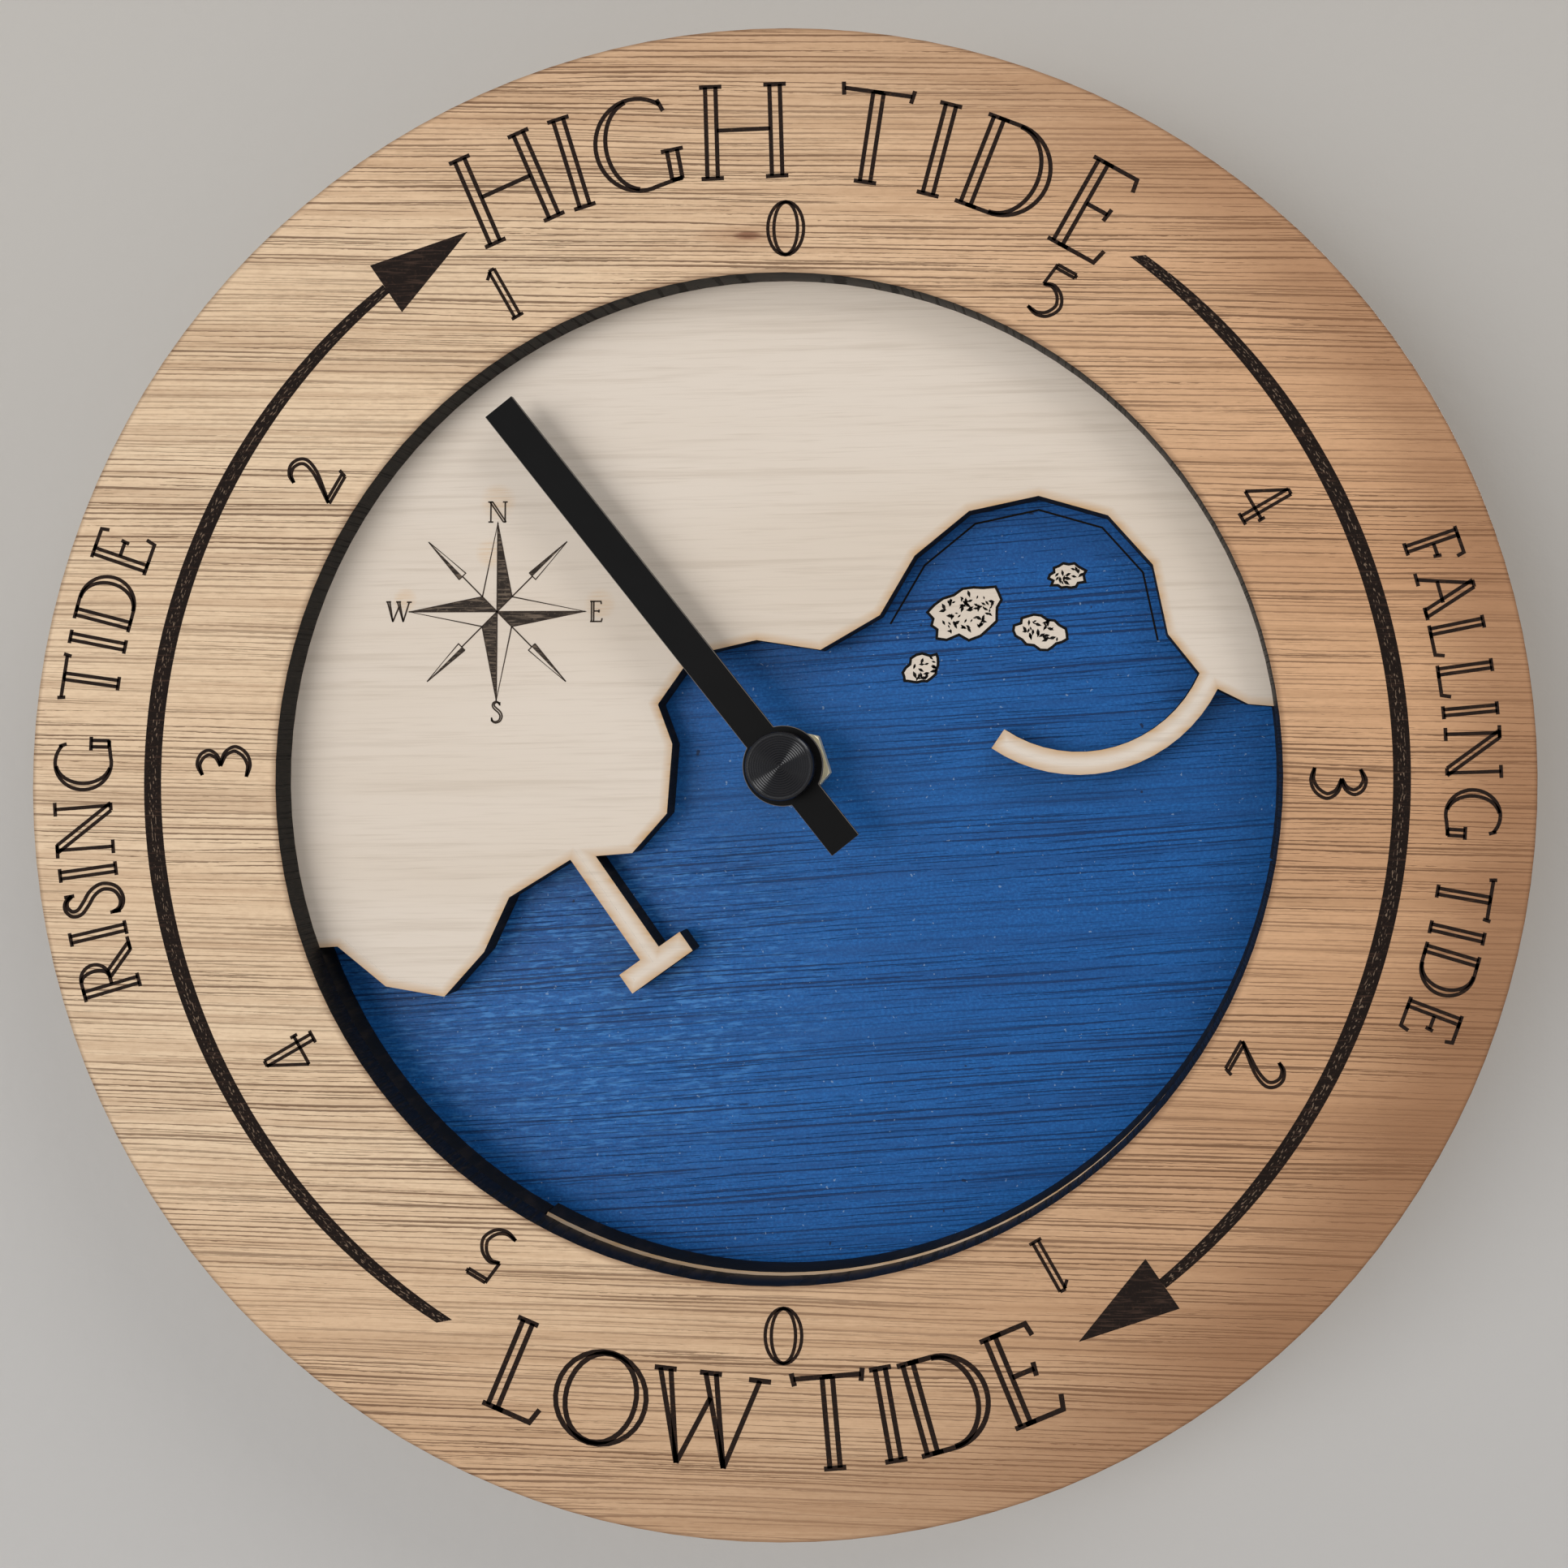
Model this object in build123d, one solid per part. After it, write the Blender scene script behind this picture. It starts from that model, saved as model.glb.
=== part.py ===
from build123d import *
import math
import os

# A wall-hung tide clock: a wooden dial of three glued layers with one long hand,
# driven by a battery movement behind it. Lengths are in millimetres, +Z is up, the
# dial faces -Y and the origin is the middle of the hanger's hole, on the wall.
# Outlines are drawn as seen from the front, around the hand's axis, and depths are
# distances from the wall.

# Wooden dial
DIAL_RADIUS = 150.0
BEZEL_WIDTH = 49.6
BEZEL_THICKNESS = 6.0
LAND_THICKNESS = 6.0
SEA_THICKNESS = 4.0
SHAFT_RIGHT = 1.8
SHAFT_UP = 1.7
RIM_RELIEF = 0.3
RIM_RISE = 0.9
RIM_SHIFT = 0.4
SEAM_GAP = 0.4
LEFT_SEAM_ANGLE = 242.0
RIGHT_SEAM_ANGLE = -10.0

# Coast cut into the land layer, with its pier and its curved mole
COAST_SHARES = [
    (-1.06, -0.36), (-0.90, -0.35), (-0.80, -0.43), (-0.68, -0.45), (-0.60, -0.36), (-0.55, -0.25),
    (-0.42, -0.17), (-0.30, -0.16), (-0.23, -0.08), (-0.22, 0.06), (-0.25, 0.14), (-0.18, 0.24),
    (-0.05, 0.27), (0.08, 0.25), (0.20, 0.32), (0.27, 0.44), (0.38, 0.53), (0.52, 0.56),
    (0.66, 0.52), (0.75, 0.42), (0.78, 0.28), (0.86, 0.18), (0.94, 0.14), (1.06, 0.13),
]
SEA_CLOSE_SHARES = [(1.4, 0.13), (1.4, -1.4), (-1.4, -1.4), (-1.4, -0.36)]
PIER_FOOT_SHARES = (-0.45, -0.10)
PIER_END_SHARES = (-0.25, -0.38)
PIER_WIDTH = 4.6
PIER_HEAD_LENGTH = 15.0
MOLE_CENTRE_SHARES = (0.60, 0.31)
MOLE_RADIUS = 29.0
MOLE_WIDTH = 4.6
MOLE_START_ANGLE = -12.0
MOLE_SWEEP_ANGLE = -112.0

# Hand, its bush and the turned cap over it
HAND_TIP_GAP = 8.4
HAND_TAIL = 20.0
HAND_WIDTH = 6.8
HAND_THICKNESS = 0.8
HAND_EYE_RADIUS = 8.0
HAND_ANGLE = 128.7
HAND_LIFT = 0.2
HAND_BUSH_RADIUS = 4.6
HAND_BUSH_LENGTH = 2.4
HAND_SHAFT_RADIUS = 2.0
CAP_RADIUS = 6.8
CAP_HEIGHT = 3.6
CAP_CHAMFER = 0.5
CAP_GRIP = 1.8

# Nut, washers and threaded bush that clamp the dial
THREAD_RADIUS = 3.9
THREAD_END_GAP = 0.8
BUSH_FLANGE_RADIUS = 5.6
BUSH_FLANGE = 0.6
NUT_ACROSS_FLATS = 13.8
NUT_HEIGHT = 2.6
NUT_CHAMFER = 0.4
NUT_ANGLE = -11.5
WASHER_RADIUS = 6.8
WASHER_THICKNESS = 0.6
RUBBER_RADIUS = 9.0
RUBBER_THICKNESS = 1.0

# Movement housing
HOUSING_CORNER = 4.0
WALL = 1.4
SPLIT_DEPTH = 5.0
PARTITION = 1.2
PIVOT_RADIUS = 0.4
PIVOT_DEPTH = 0.7
POST_SIDE = 2.6
CENTRE_PIVOT_RADIUS = 0.7

# Hanger plate between housing and dial, bent back over the housing to the wall
HANGER_THICKNESS = 1.0
HANGER_WIDTH = 24.0
HANGER_CORNER = 3.0
HANGER_BEND = 0.8
HANGER_FOOT = 10.0
HANGER_HOLE_RADIUS = 2.5
HANGER_HOLE_RISE = 5.0
HANGER_TOP_EDGE = 5.5

# Battery cell and its contacts
CELL_RADIUS = 7.1
CELL_LENGTH = 50.5
CELL_NUB_RADIUS = 2.7
CELL_NUB_LENGTH = 1.2
CELL_CLEARANCE = 0.2
CONTACT_THICKNESS = 0.4
CONTACT_WIDTH = 8.0
CONTACT_MARGIN = 1.6
CONTACT_SPRING = 2.3

# Going train: tooth counts, modules and the directions from wheel to wheel
PINION_TEETH = 6
FIRST_TEETH = 48
SECOND_TEETH = 45
THIRD_TEETH = 45
CLUTCH_TEETH = 45
CLUTCH_PINION_TEETH = 8
HAND_TEETH = 53
KNOB_TEETH = 12
FIRST_MODULE = 0.27
SECOND_MODULE = 0.29
THIRD_MODULE = 0.33
CLUTCH_MODULE = 0.37
HAND_MODULE = 0.35
CLUTCH_DIRECTION = 20.0
THIRD_DIRECTION = 100.0
SECOND_DIRECTION = 175.0
FIRST_DIRECTION = 200.0
ROTOR_DIRECTION = 160.0
KNOB_DIRECTION = 195.0
WHEEL_THICKNESS = 1.0
LEVEL_PITCH = 1.7
PINION_OVERLAP = 0.2
ADDENDUM_SHARE = 0.65
DEDENDUM_SHARE = 0.95
TIP_HALF_SHARE = 0.10
ROOT_HALF_SHARE = 0.272

# Friction clutch between the train and the hand
CLUTCH_ARBOR_RADIUS = 0.7
CLUTCH_COLLAR_RADIUS = 2.2
CLUTCH_COLLAR = 0.5
CLUTCH_SPRING_RADIUS = 2.6
CLUTCH_SPRING = 0.25

# Setting knob, sunk into the rear cover
KNOB_RADIUS = 5.5
KNOB_HEIGHT = 2.0
KNOB_SINK = 0.5
KNOB_GAP = 0.4
KNOB_STEM_RADIUS = 1.2
KNOB_FLUTES = 18
KNOB_FLUTE_DEPTH = 0.4
CUP_WALL = 1.0

# Motor: rotor magnet, stator plate and coil
MAGNET_RADIUS = 2.8
MAGNET_LENGTH = 2.6
MAGNET_GAP = 0.5
STATOR_THICKNESS = 1.2
STATOR_RIM = 1.6
STATOR_ARM = 3.6
STATOR_STAND = 2.0
ARM_KNEE_RISE = 2.4
COIL_GAP = 0.5
COIL_RISE = 8.6
CORE_HEIGHT = 1.2
CORE_WIDTH = 2.0
CORE_OVERHANG = 1.5
BOBBIN_LENGTH = 13.6
BOBBIN_FLANGE = 0.8
BOBBIN_SIDE = 6.2
BOBBIN_TUBE = 3.2
WINDING_SIDE = 5.4
WINDING_CORNER = 1.2

# Circuit board with its chip and crystal
BOARD_LENGTH = 28.0
BOARD_WIDTH = 7.6
BOARD_THICKNESS = 1.0
BOARD_STAND = 1.0
BOARD_MARGIN = 0.6
CHIP_LENGTH = 5.0
CHIP_WIDTH = 4.0
CHIP_HEIGHT = 1.2
CRYSTAL_RADIUS = 1.4
CRYSTAL_LENGTH = 6.0

# Fits
RUN_CLEARANCE = 0.05
PRESS_CLEARANCE = 0.02
END_PLAY = 0.1
PIECE_CLEARANCE = 0.15


def step_from(start, direction, distance):
    """The point at a distance from another, in a direction in degrees."""
    angle = math.radians(direction)
    return (start[0] + distance * math.cos(angle), start[1] + distance * math.sin(angle))


def mesh_distance(teeth, other_teeth, module):
    """The distance between the axes of two wheels in mesh."""
    return (teeth + other_teeth) * module / 2


# Places of the arbors, each in mesh with the one before
CENTRE = (0, 0)
CLUTCH_AT = step_from(CENTRE, CLUTCH_DIRECTION, mesh_distance(CLUTCH_PINION_TEETH, HAND_TEETH, HAND_MODULE))
THIRD_AT = step_from(CLUTCH_AT, THIRD_DIRECTION, mesh_distance(PINION_TEETH, CLUTCH_TEETH, CLUTCH_MODULE))
SECOND_AT = step_from(THIRD_AT, SECOND_DIRECTION, mesh_distance(PINION_TEETH, THIRD_TEETH, THIRD_MODULE))
FIRST_AT = step_from(SECOND_AT, FIRST_DIRECTION, mesh_distance(PINION_TEETH, SECOND_TEETH, SECOND_MODULE))
ROTOR_AT = step_from(FIRST_AT, ROTOR_DIRECTION, mesh_distance(PINION_TEETH, FIRST_TEETH, FIRST_MODULE))
KNOB_AT = step_from(CENTRE, KNOB_DIRECTION, mesh_distance(KNOB_TEETH, HAND_TEETH, HAND_MODULE))

# Widths that follow from the sizes above
OPENING_RADIUS = DIAL_RADIUS - BEZEL_WIDTH
HAND_LENGTH = OPENING_RADIUS - HAND_TIP_GAP
COIL_SPAN = BOBBIN_LENGTH + STATOR_ARM + 2 * COIL_GAP

# Room from the hand's axis to the housing's walls: the piece that needs most sets it
CELL_ROOM = (CELL_LENGTH + CONTACT_THICKNESS + CONTACT_SPRING) / 2
BOARD_ROOM = 2 * (CELL_RADIUS + CELL_CLEARANCE) + PARTITION + 2 * BOARD_MARGIN + BOARD_WIDTH + POST_SIDE / 2
COIL_ROOM_ABOVE = ROTOR_AT[1] + COIL_RISE + BOBBIN_SIDE / 2 + COIL_GAP
COIL_ROOM_BESIDE = COIL_SPAN / 2 + CORE_OVERHANG + COIL_GAP - ROTOR_AT[0]
INSIDE_HALF = max(CELL_ROOM, BOARD_ROOM, COIL_ROOM_ABOVE, COIL_ROOM_BESIDE)
HOUSING_SIDE = 2 * (INSIDE_HALF + WALL)

# Depths of the layers, from the wall to the front
HOUSING_DEPTH = WALL + 2 * (CELL_RADIUS + CELL_CLEARANCE)
FRONT_INSIDE = HOUSING_DEPTH - WALL
RUBBER_BACK = HOUSING_DEPTH + HANGER_THICKNESS
SEA_BACK = RUBBER_BACK + RUBBER_THICKNESS
LAND_BACK = SEA_BACK + SEA_THICKNESS
BEZEL_BACK = LAND_BACK + LAND_THICKNESS
DIAL_FRONT = BEZEL_BACK + BEZEL_THICKNESS
HAND_BACK = DIAL_FRONT + HAND_LIFT
HAND_FRONT = HAND_BACK + HAND_THICKNESS
SHAFT_END = HAND_FRONT + CAP_GRIP
THREAD_END = HAND_BACK - HAND_BUSH_LENGTH - THREAD_END_GAP
NUT_BACK = LAND_BACK + WASHER_THICKNESS

# Wheel levels, counted from the rotor at the rear to the hand wheel at the front
HAND_LEVEL = FRONT_INSIDE - BUSH_FLANGE - 2 * END_PLAY - WHEEL_THICKNESS
CLUTCH_LEVEL = HAND_LEVEL - LEVEL_PITCH
THIRD_LEVEL = CLUTCH_LEVEL - LEVEL_PITCH
SECOND_LEVEL = THIRD_LEVEL - LEVEL_PITCH
FIRST_LEVEL = SECOND_LEVEL - LEVEL_PITCH

# Heights around the hand's axis
CELL_Z = CELL_RADIUS + CELL_CLEARANCE - INSIDE_HALF
BAY_TOP = CELL_Z + CELL_RADIUS + CELL_CLEARANCE
PARTITION_TOP = BAY_TOP + PARTITION
HANGER_TOP = HOUSING_SIDE / 2 + HANGER_BEND + HANGER_THICKNESS
HANGER_DROP = HANGER_TOP + HANGER_HOLE_RISE
DIAL_CENTRE = (-SHAFT_RIGHT, -SHAFT_UP)


def layer(profile, near, far):
    """A flat profile made solid between two distances from the wall."""
    plane = Plane(origin=(0, -near, 0), x_dir=(1, 0, 0), z_dir=(0, -1, 0))
    return extrude(plane * profile, amount=far - near)


def disc(radius, near, far, at=(0, 0)):
    """A round bar along the depth, around a point of the dial."""
    return layer(Pos(*at) * Circle(radius), near, far)


def along_x(radius, length, x_mid, depth, z):
    """A round bar lying from left to right."""
    return Pos(x_mid, -depth, z) * Rot(0, 90, 0) * Cylinder(radius, length)


def dial_point(shares):
    """A point of the dial given in shares of the opening's radius."""
    return (DIAL_CENTRE[0] + shares[0] * OPENING_RADIUS, DIAL_CENTRE[1] + shares[1] * OPENING_RADIUS)


def toothed(teeth, module, turn, at):
    """The outline of a wheel with straight-flanked teeth, one of them at the angle turn."""
    pitch_radius = teeth * module / 2
    tip = pitch_radius + ADDENDUM_SHARE * module
    root = pitch_radius - DEDENDUM_SHARE * module
    rising = ((root, -ROOT_HALF_SHARE), (tip, -TIP_HALF_SHARE))
    falling = ((tip, TIP_HALF_SHARE), (root, ROOT_HALF_SHARE))
    points = []
    for tooth in range(teeth):
        for radius, half_share in rising + falling:
            angle = turn + (tooth + half_share * pitch_radius / radius) * 360 / teeth
            points.append(step_from(at, angle, radius))
    return make_face(Polyline(*points, close=True))


def gap_turn(teeth, direction):
    """The turn that puts a gap of a wheel where its partner, in this direction, has a tooth."""
    return direction + 180 + 180 / teeth


def wheel_blank(teeth, module, turn, at, level):
    """A toothed wheel on its level."""
    return layer(toothed(teeth, module, turn, at), level, level + WHEEL_THICKNESS)


def pinion_blank(profile, near, level):
    """A pinion that reaches a little past the wheel that it drives."""
    return layer(profile, near, level + WHEEL_THICKNESS + PINION_OVERLAP)


def arbor(at, rear_seat):
    """A thin arbor from the rear boss, whose top is given, to the front wall."""
    return disc(PIVOT_RADIUS, rear_seat - PIVOT_DEPTH + END_PLAY, FRONT_INSIDE + PIVOT_DEPTH - END_PLAY, at)


def pivot_hole(radius, near, far, at):
    """A bearing hole for an arbor."""
    return disc(radius + RUN_CLEARANCE, near, far, at)


# Tops of the bosses that carry the rear pivots
TRAIN_BOSS_TOP = FIRST_LEVEL - 2 * END_PLAY
ROTOR_BOSS_TOP = WALL + PIVOT_DEPTH
MAGNET_BACK = ROTOR_BOSS_TOP + 2 * END_PLAY
CENTRE_BOSS_TOP = HAND_LEVEL - 2 * END_PLAY
CLUTCH_COLLAR_BACK = CLUTCH_LEVEL - END_PLAY - CLUTCH_COLLAR
TRAIN_ARBORS = (FIRST_AT, SECOND_AT, THIRD_AT, CLUTCH_AT)


def bezel_ring():
    ring = Pos(*DIAL_CENTRE) * (Circle(DIAL_RADIUS) - Circle(OPENING_RADIUS))
    return layer(ring, BEZEL_BACK, DIAL_FRONT)


def sea_circle(right=0, up=0):
    """The circle left open in the second layer, moved right and up from the middle of the opening."""
    return Pos(DIAL_CENTRE[0] + right, DIAL_CENTRE[1] + up) * Circle(OPENING_RADIUS + RIM_RELIEF)


def land_layer():
    """The outline of the whole second layer: the land and the rim around the sea."""
    coast = [dial_point(share) for share in COAST_SHARES]
    outside = [dial_point(share) for share in SEA_CLOSE_SHARES]
    sea = make_face(Polyline(*coast, *outside, close=True))
    foot = dial_point(PIER_FOOT_SHARES)
    end = dial_point(PIER_END_SHARES)
    stem_angle = math.degrees(math.atan2(end[1] - foot[1], end[0] - foot[0]))
    pier = trace(Line(foot, end), PIER_WIDTH)
    head = Pos(*end) * Rot(0, 0, stem_angle) * Rectangle(PIER_WIDTH, PIER_HEAD_LENGTH)
    mole_line = CenterArc(dial_point(MOLE_CENTRE_SHARES), MOLE_RADIUS, MOLE_START_ANGLE, MOLE_SWEEP_ANGLE)
    mole = trace(mole_line, MOLE_WIDTH)
    dial = Pos(*DIAL_CENTRE) * Circle(DIAL_RADIUS)
    return dial - (sea & sea_circle()) + pier + head + mole


def rim_sector(spare, circle):
    """The part of the rim from seam to seam outside a circle, made larger or smaller all round by spare."""
    reach = DIAL_RADIUS + DIAL_RADIUS
    turns = (LEFT_SEAM_ANGLE, (LEFT_SEAM_ANGLE + RIGHT_SEAM_ANGLE + 360) / 2, RIGHT_SEAM_ANGLE + 360)
    corners = [step_from(DIAL_CENTRE, turn, reach) for turn in turns]
    sector = make_face(Polyline(DIAL_CENTRE, *corners, close=True))
    return offset(sector, spare) - circle


def land_panel():
    return layer(land_layer() - rim_sector(SEAM_GAP / 2, sea_circle()), LAND_BACK, BEZEL_BACK)


def rim_spacer():
    """The strip that closes the rim, a little proud of the bezel's opening below."""
    dial = Pos(*DIAL_CENTRE) * Circle(DIAL_RADIUS)
    strip = rim_sector(-SEAM_GAP / 2, sea_circle(RIM_SHIFT, RIM_RISE))
    return layer(dial & strip, LAND_BACK, BEZEL_BACK)


def sea_panel():
    hole = Circle(THREAD_RADIUS + PIECE_CLEARANCE)
    return layer(Pos(*DIAL_CENTRE) * Circle(DIAL_RADIUS) - hole, SEA_BACK, LAND_BACK)


def tide_hand():
    blade = Pos((HAND_LENGTH - HAND_TAIL) / 2, 0) * Rectangle(HAND_LENGTH + HAND_TAIL, HAND_WIDTH)
    outline = Rot(0, 0, HAND_ANGLE) * blade + Circle(HAND_EYE_RADIUS)
    return layer(outline - Circle(HAND_SHAFT_RADIUS + PRESS_CLEARANCE), HAND_BACK, HAND_FRONT)


def hand_bush():
    ring = Circle(HAND_BUSH_RADIUS) - Circle(HAND_SHAFT_RADIUS + PRESS_CLEARANCE)
    return layer(ring, HAND_BACK - HAND_BUSH_LENGTH, HAND_BACK)


def hand_cap():
    body = disc(CAP_RADIUS, HAND_FRONT, HAND_FRONT + CAP_HEIGHT)
    body = chamfer(body.edges().group_by(Axis.Y)[0], CAP_CHAMFER)
    return body - disc(HAND_SHAFT_RADIUS + PRESS_CLEARANCE, HAND_FRONT, SHAFT_END)


def brass_nut():
    corner_radius = NUT_ACROSS_FLATS / 2 / math.cos(math.pi / 6)
    blank = disc(corner_radius, NUT_BACK, NUT_BACK + NUT_HEIGHT)
    blank = chamfer(blank.edges(), NUT_CHAMFER)
    hexagon = Rot(0, 0, NUT_ANGLE) * RegularPolygon(corner_radius, 6)
    bore = Circle(THREAD_RADIUS + RUN_CLEARANCE)
    return blank & layer(hexagon - bore, NUT_BACK, NUT_BACK + NUT_HEIGHT)


def brass_washer():
    ring = Circle(WASHER_RADIUS) - Circle(THREAD_RADIUS + PIECE_CLEARANCE)
    return layer(ring, LAND_BACK, NUT_BACK)


def rubber_washer():
    ring = Circle(RUBBER_RADIUS) - Circle(THREAD_RADIUS + PIECE_CLEARANCE)
    return layer(ring, RUBBER_BACK, SEA_BACK)


def threaded_bush():
    tube = disc(THREAD_RADIUS, FRONT_INSIDE, THREAD_END)
    flange = disc(BUSH_FLANGE_RADIUS, FRONT_INSIDE - BUSH_FLANGE, FRONT_INSIDE)
    bore = disc(HAND_SHAFT_RADIUS + RUN_CLEARANCE, FRONT_INSIDE - BUSH_FLANGE, THREAD_END)
    return tube + flange - bore


def hanger_plate():
    """A strip bent twice: up the front of the housing, back over its top, up the wall."""
    half = HANGER_THICKNESS / 2
    front_y = -HOUSING_DEPTH - half
    path = FilletPolyline(
        (front_y, -HANGER_FOOT), (front_y, HANGER_TOP - half),
        (-half, HANGER_TOP - half), (-half, HANGER_DROP + HANGER_TOP_EDGE),
        radius=HANGER_BEND + half,
    )
    strip = extrude(Plane.YZ * trace(path, HANGER_THICKNESS), amount=HANGER_WIDTH / 2, both=True)
    height = HANGER_DROP + HANGER_TOP_EDGE + HANGER_FOOT
    middle = (HANGER_DROP + HANGER_TOP_EDGE - HANGER_FOOT) / 2
    outline = Pos(0, middle) * RectangleRounded(HANGER_WIDTH, height, HANGER_CORNER)
    bush_hole = Circle(THREAD_RADIUS + PIECE_CLEARANCE)
    wall_hole = Pos(0, HANGER_DROP) * Circle(HANGER_HOLE_RADIUS)
    return strip & layer(outline - bush_hole - wall_hole, 0, RUBBER_BACK)


def housing_outline(inset):
    side = HOUSING_SIDE - 2 * inset
    return RectangleRounded(side, side, HOUSING_CORNER - inset)


def front_housing():
    """The front shell, with the wall that parts the battery bay from the train."""
    shell = layer(housing_outline(0), SPLIT_DEPTH, HOUSING_DEPTH)
    shell -= layer(housing_outline(WALL), SPLIT_DEPTH, FRONT_INSIDE)
    partition = Pos(0, BAY_TOP + PARTITION / 2) * Rectangle(2 * INSIDE_HALF, PARTITION)
    shell += layer(partition, SPLIT_DEPTH, FRONT_INSIDE)
    shell -= disc(THREAD_RADIUS + PRESS_CLEARANCE, FRONT_INSIDE, HOUSING_DEPTH)
    for at in (*TRAIN_ARBORS, ROTOR_AT, KNOB_AT):
        shell -= pivot_hole(PIVOT_RADIUS, FRONT_INSIDE, FRONT_INSIDE + PIVOT_DEPTH, at)
    return shell


def post(at, top):
    """A square moulded post on the rear wall."""
    return layer(Pos(*at) * Rectangle(POST_SIDE, POST_SIDE), WALL, top)


def rear_cover():
    """The rear shell: battery window, bearing bosses, knob cup and stands for the motor."""
    cover = layer(housing_outline(0), 0, SPLIT_DEPTH) - layer(housing_outline(WALL), WALL, SPLIT_DEPTH)
    partition = Pos(0, BAY_TOP + PARTITION / 2) * Rectangle(2 * INSIDE_HALF, PARTITION)
    cover += layer(partition, WALL, SPLIT_DEPTH)
    window_height = INSIDE_HALF + BAY_TOP
    window = Pos(0, (BAY_TOP - INSIDE_HALF) / 2) * Rectangle(2 * INSIDE_HALF, window_height)
    corner_cut = housing_outline(WALL) & window
    cover -= layer(corner_cut, 0, WALL)
    cup_floor = KNOB_SINK + KNOB_HEIGHT + KNOB_GAP
    cup_radius = KNOB_RADIUS + KNOB_GAP
    cover += disc(cup_radius + CUP_WALL, WALL, cup_floor + CUP_WALL, KNOB_AT)
    cover -= disc(cup_radius, 0, cup_floor, KNOB_AT)
    cover -= pivot_hole(KNOB_STEM_RADIUS, cup_floor, cup_floor + CUP_WALL, KNOB_AT)
    bearings = [(at, TRAIN_BOSS_TOP, PIVOT_RADIUS) for at in TRAIN_ARBORS]
    bearings.append((CENTRE, CENTRE_BOSS_TOP, CENTRE_PIVOT_RADIUS))
    bearings.append((ROTOR_AT, ROTOR_BOSS_TOP, PIVOT_RADIUS))
    for at, top, radius in bearings:
        cover += post(at, top) - pivot_hole(radius, top - PIVOT_DEPTH, top, at)
    for seat in coil_seats():
        cover += post(seat, STATOR_BACK)
    for end in board_ends():
        cover += post(end, BOARD_BACK)
    return cover


def hand_wheel():
    """The hand's wheel, shaft and rear pivot in one piece."""
    wheel = wheel_blank(HAND_TEETH, HAND_MODULE, CLUTCH_DIRECTION, CENTRE, HAND_LEVEL)
    shaft = disc(HAND_SHAFT_RADIUS, HAND_LEVEL + WHEEL_THICKNESS, SHAFT_END)
    pivot = disc(CENTRE_PIVOT_RADIUS, CENTRE_BOSS_TOP - PIVOT_DEPTH + END_PLAY, HAND_LEVEL)
    return wheel + shaft + pivot


def clutch_pinion():
    """The pinion that turns the hand wheel, with the arbor and collar of the clutch."""
    turn = gap_turn(CLUTCH_PINION_TEETH, CLUTCH_DIRECTION)
    profile = toothed(CLUTCH_PINION_TEETH, HAND_MODULE, turn, CLUTCH_AT)
    pinion = pinion_blank(profile, HAND_LEVEL - PINION_OVERLAP, HAND_LEVEL)
    clutch_arbor = disc(CLUTCH_ARBOR_RADIUS, CLUTCH_COLLAR_BACK, HAND_LEVEL, CLUTCH_AT)
    collar = disc(CLUTCH_COLLAR_RADIUS, CLUTCH_COLLAR_BACK, CLUTCH_COLLAR_BACK + CLUTCH_COLLAR, CLUTCH_AT)
    return pinion + clutch_arbor + collar + arbor(CLUTCH_AT, TRAIN_BOSS_TOP)


def clutch_spring():
    """The thin spring washer between the clutch wheel and the pinion."""
    ring = Circle(CLUTCH_SPRING_RADIUS) - Circle(CLUTCH_ARBOR_RADIUS + PRESS_CLEARANCE)
    front = HAND_LEVEL - PINION_OVERLAP
    return layer(Pos(*CLUTCH_AT) * ring, front - CLUTCH_SPRING, front)


def clutch_wheel():
    turn = gap_turn(CLUTCH_TEETH, THIRD_DIRECTION + 180)
    wheel = wheel_blank(CLUTCH_TEETH, CLUTCH_MODULE, turn, CLUTCH_AT, CLUTCH_LEVEL)
    bore_end = CLUTCH_LEVEL + WHEEL_THICKNESS
    return wheel - pivot_hole(CLUTCH_ARBOR_RADIUS, CLUTCH_LEVEL, bore_end, CLUTCH_AT)


def train_wheel(at, level, wheel, pinion):
    """A wheel and its pinion on one arbor: each is (teeth, module, direction of its partner)."""
    teeth, module, direction = wheel
    pinion_teeth, pinion_module, pinion_direction = pinion
    body = wheel_blank(teeth, module, gap_turn(teeth, direction + 180), at, level)
    profile = toothed(pinion_teeth, pinion_module, pinion_direction, at)
    body += pinion_blank(profile, level + WHEEL_THICKNESS, level + LEVEL_PITCH)
    return body + arbor(at, TRAIN_BOSS_TOP)


def third_wheel():
    wheel = (THIRD_TEETH, THIRD_MODULE, SECOND_DIRECTION)
    pinion = (PINION_TEETH, CLUTCH_MODULE, THIRD_DIRECTION + 180)
    return train_wheel(THIRD_AT, THIRD_LEVEL, wheel, pinion)


def second_wheel():
    wheel = (SECOND_TEETH, SECOND_MODULE, FIRST_DIRECTION)
    pinion = (PINION_TEETH, THIRD_MODULE, SECOND_DIRECTION + 180)
    return train_wheel(SECOND_AT, SECOND_LEVEL, wheel, pinion)


def first_wheel():
    wheel = (FIRST_TEETH, FIRST_MODULE, ROTOR_DIRECTION)
    pinion = (PINION_TEETH, SECOND_MODULE, FIRST_DIRECTION + 180)
    return train_wheel(FIRST_AT, FIRST_LEVEL, wheel, pinion)


def rotor_pinion():
    profile = toothed(PINION_TEETH, FIRST_MODULE, ROTOR_DIRECTION + 180, ROTOR_AT)
    pinion = pinion_blank(profile, FIRST_LEVEL - PINION_OVERLAP, FIRST_LEVEL)
    return pinion + arbor(ROTOR_AT, ROTOR_BOSS_TOP)


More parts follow.
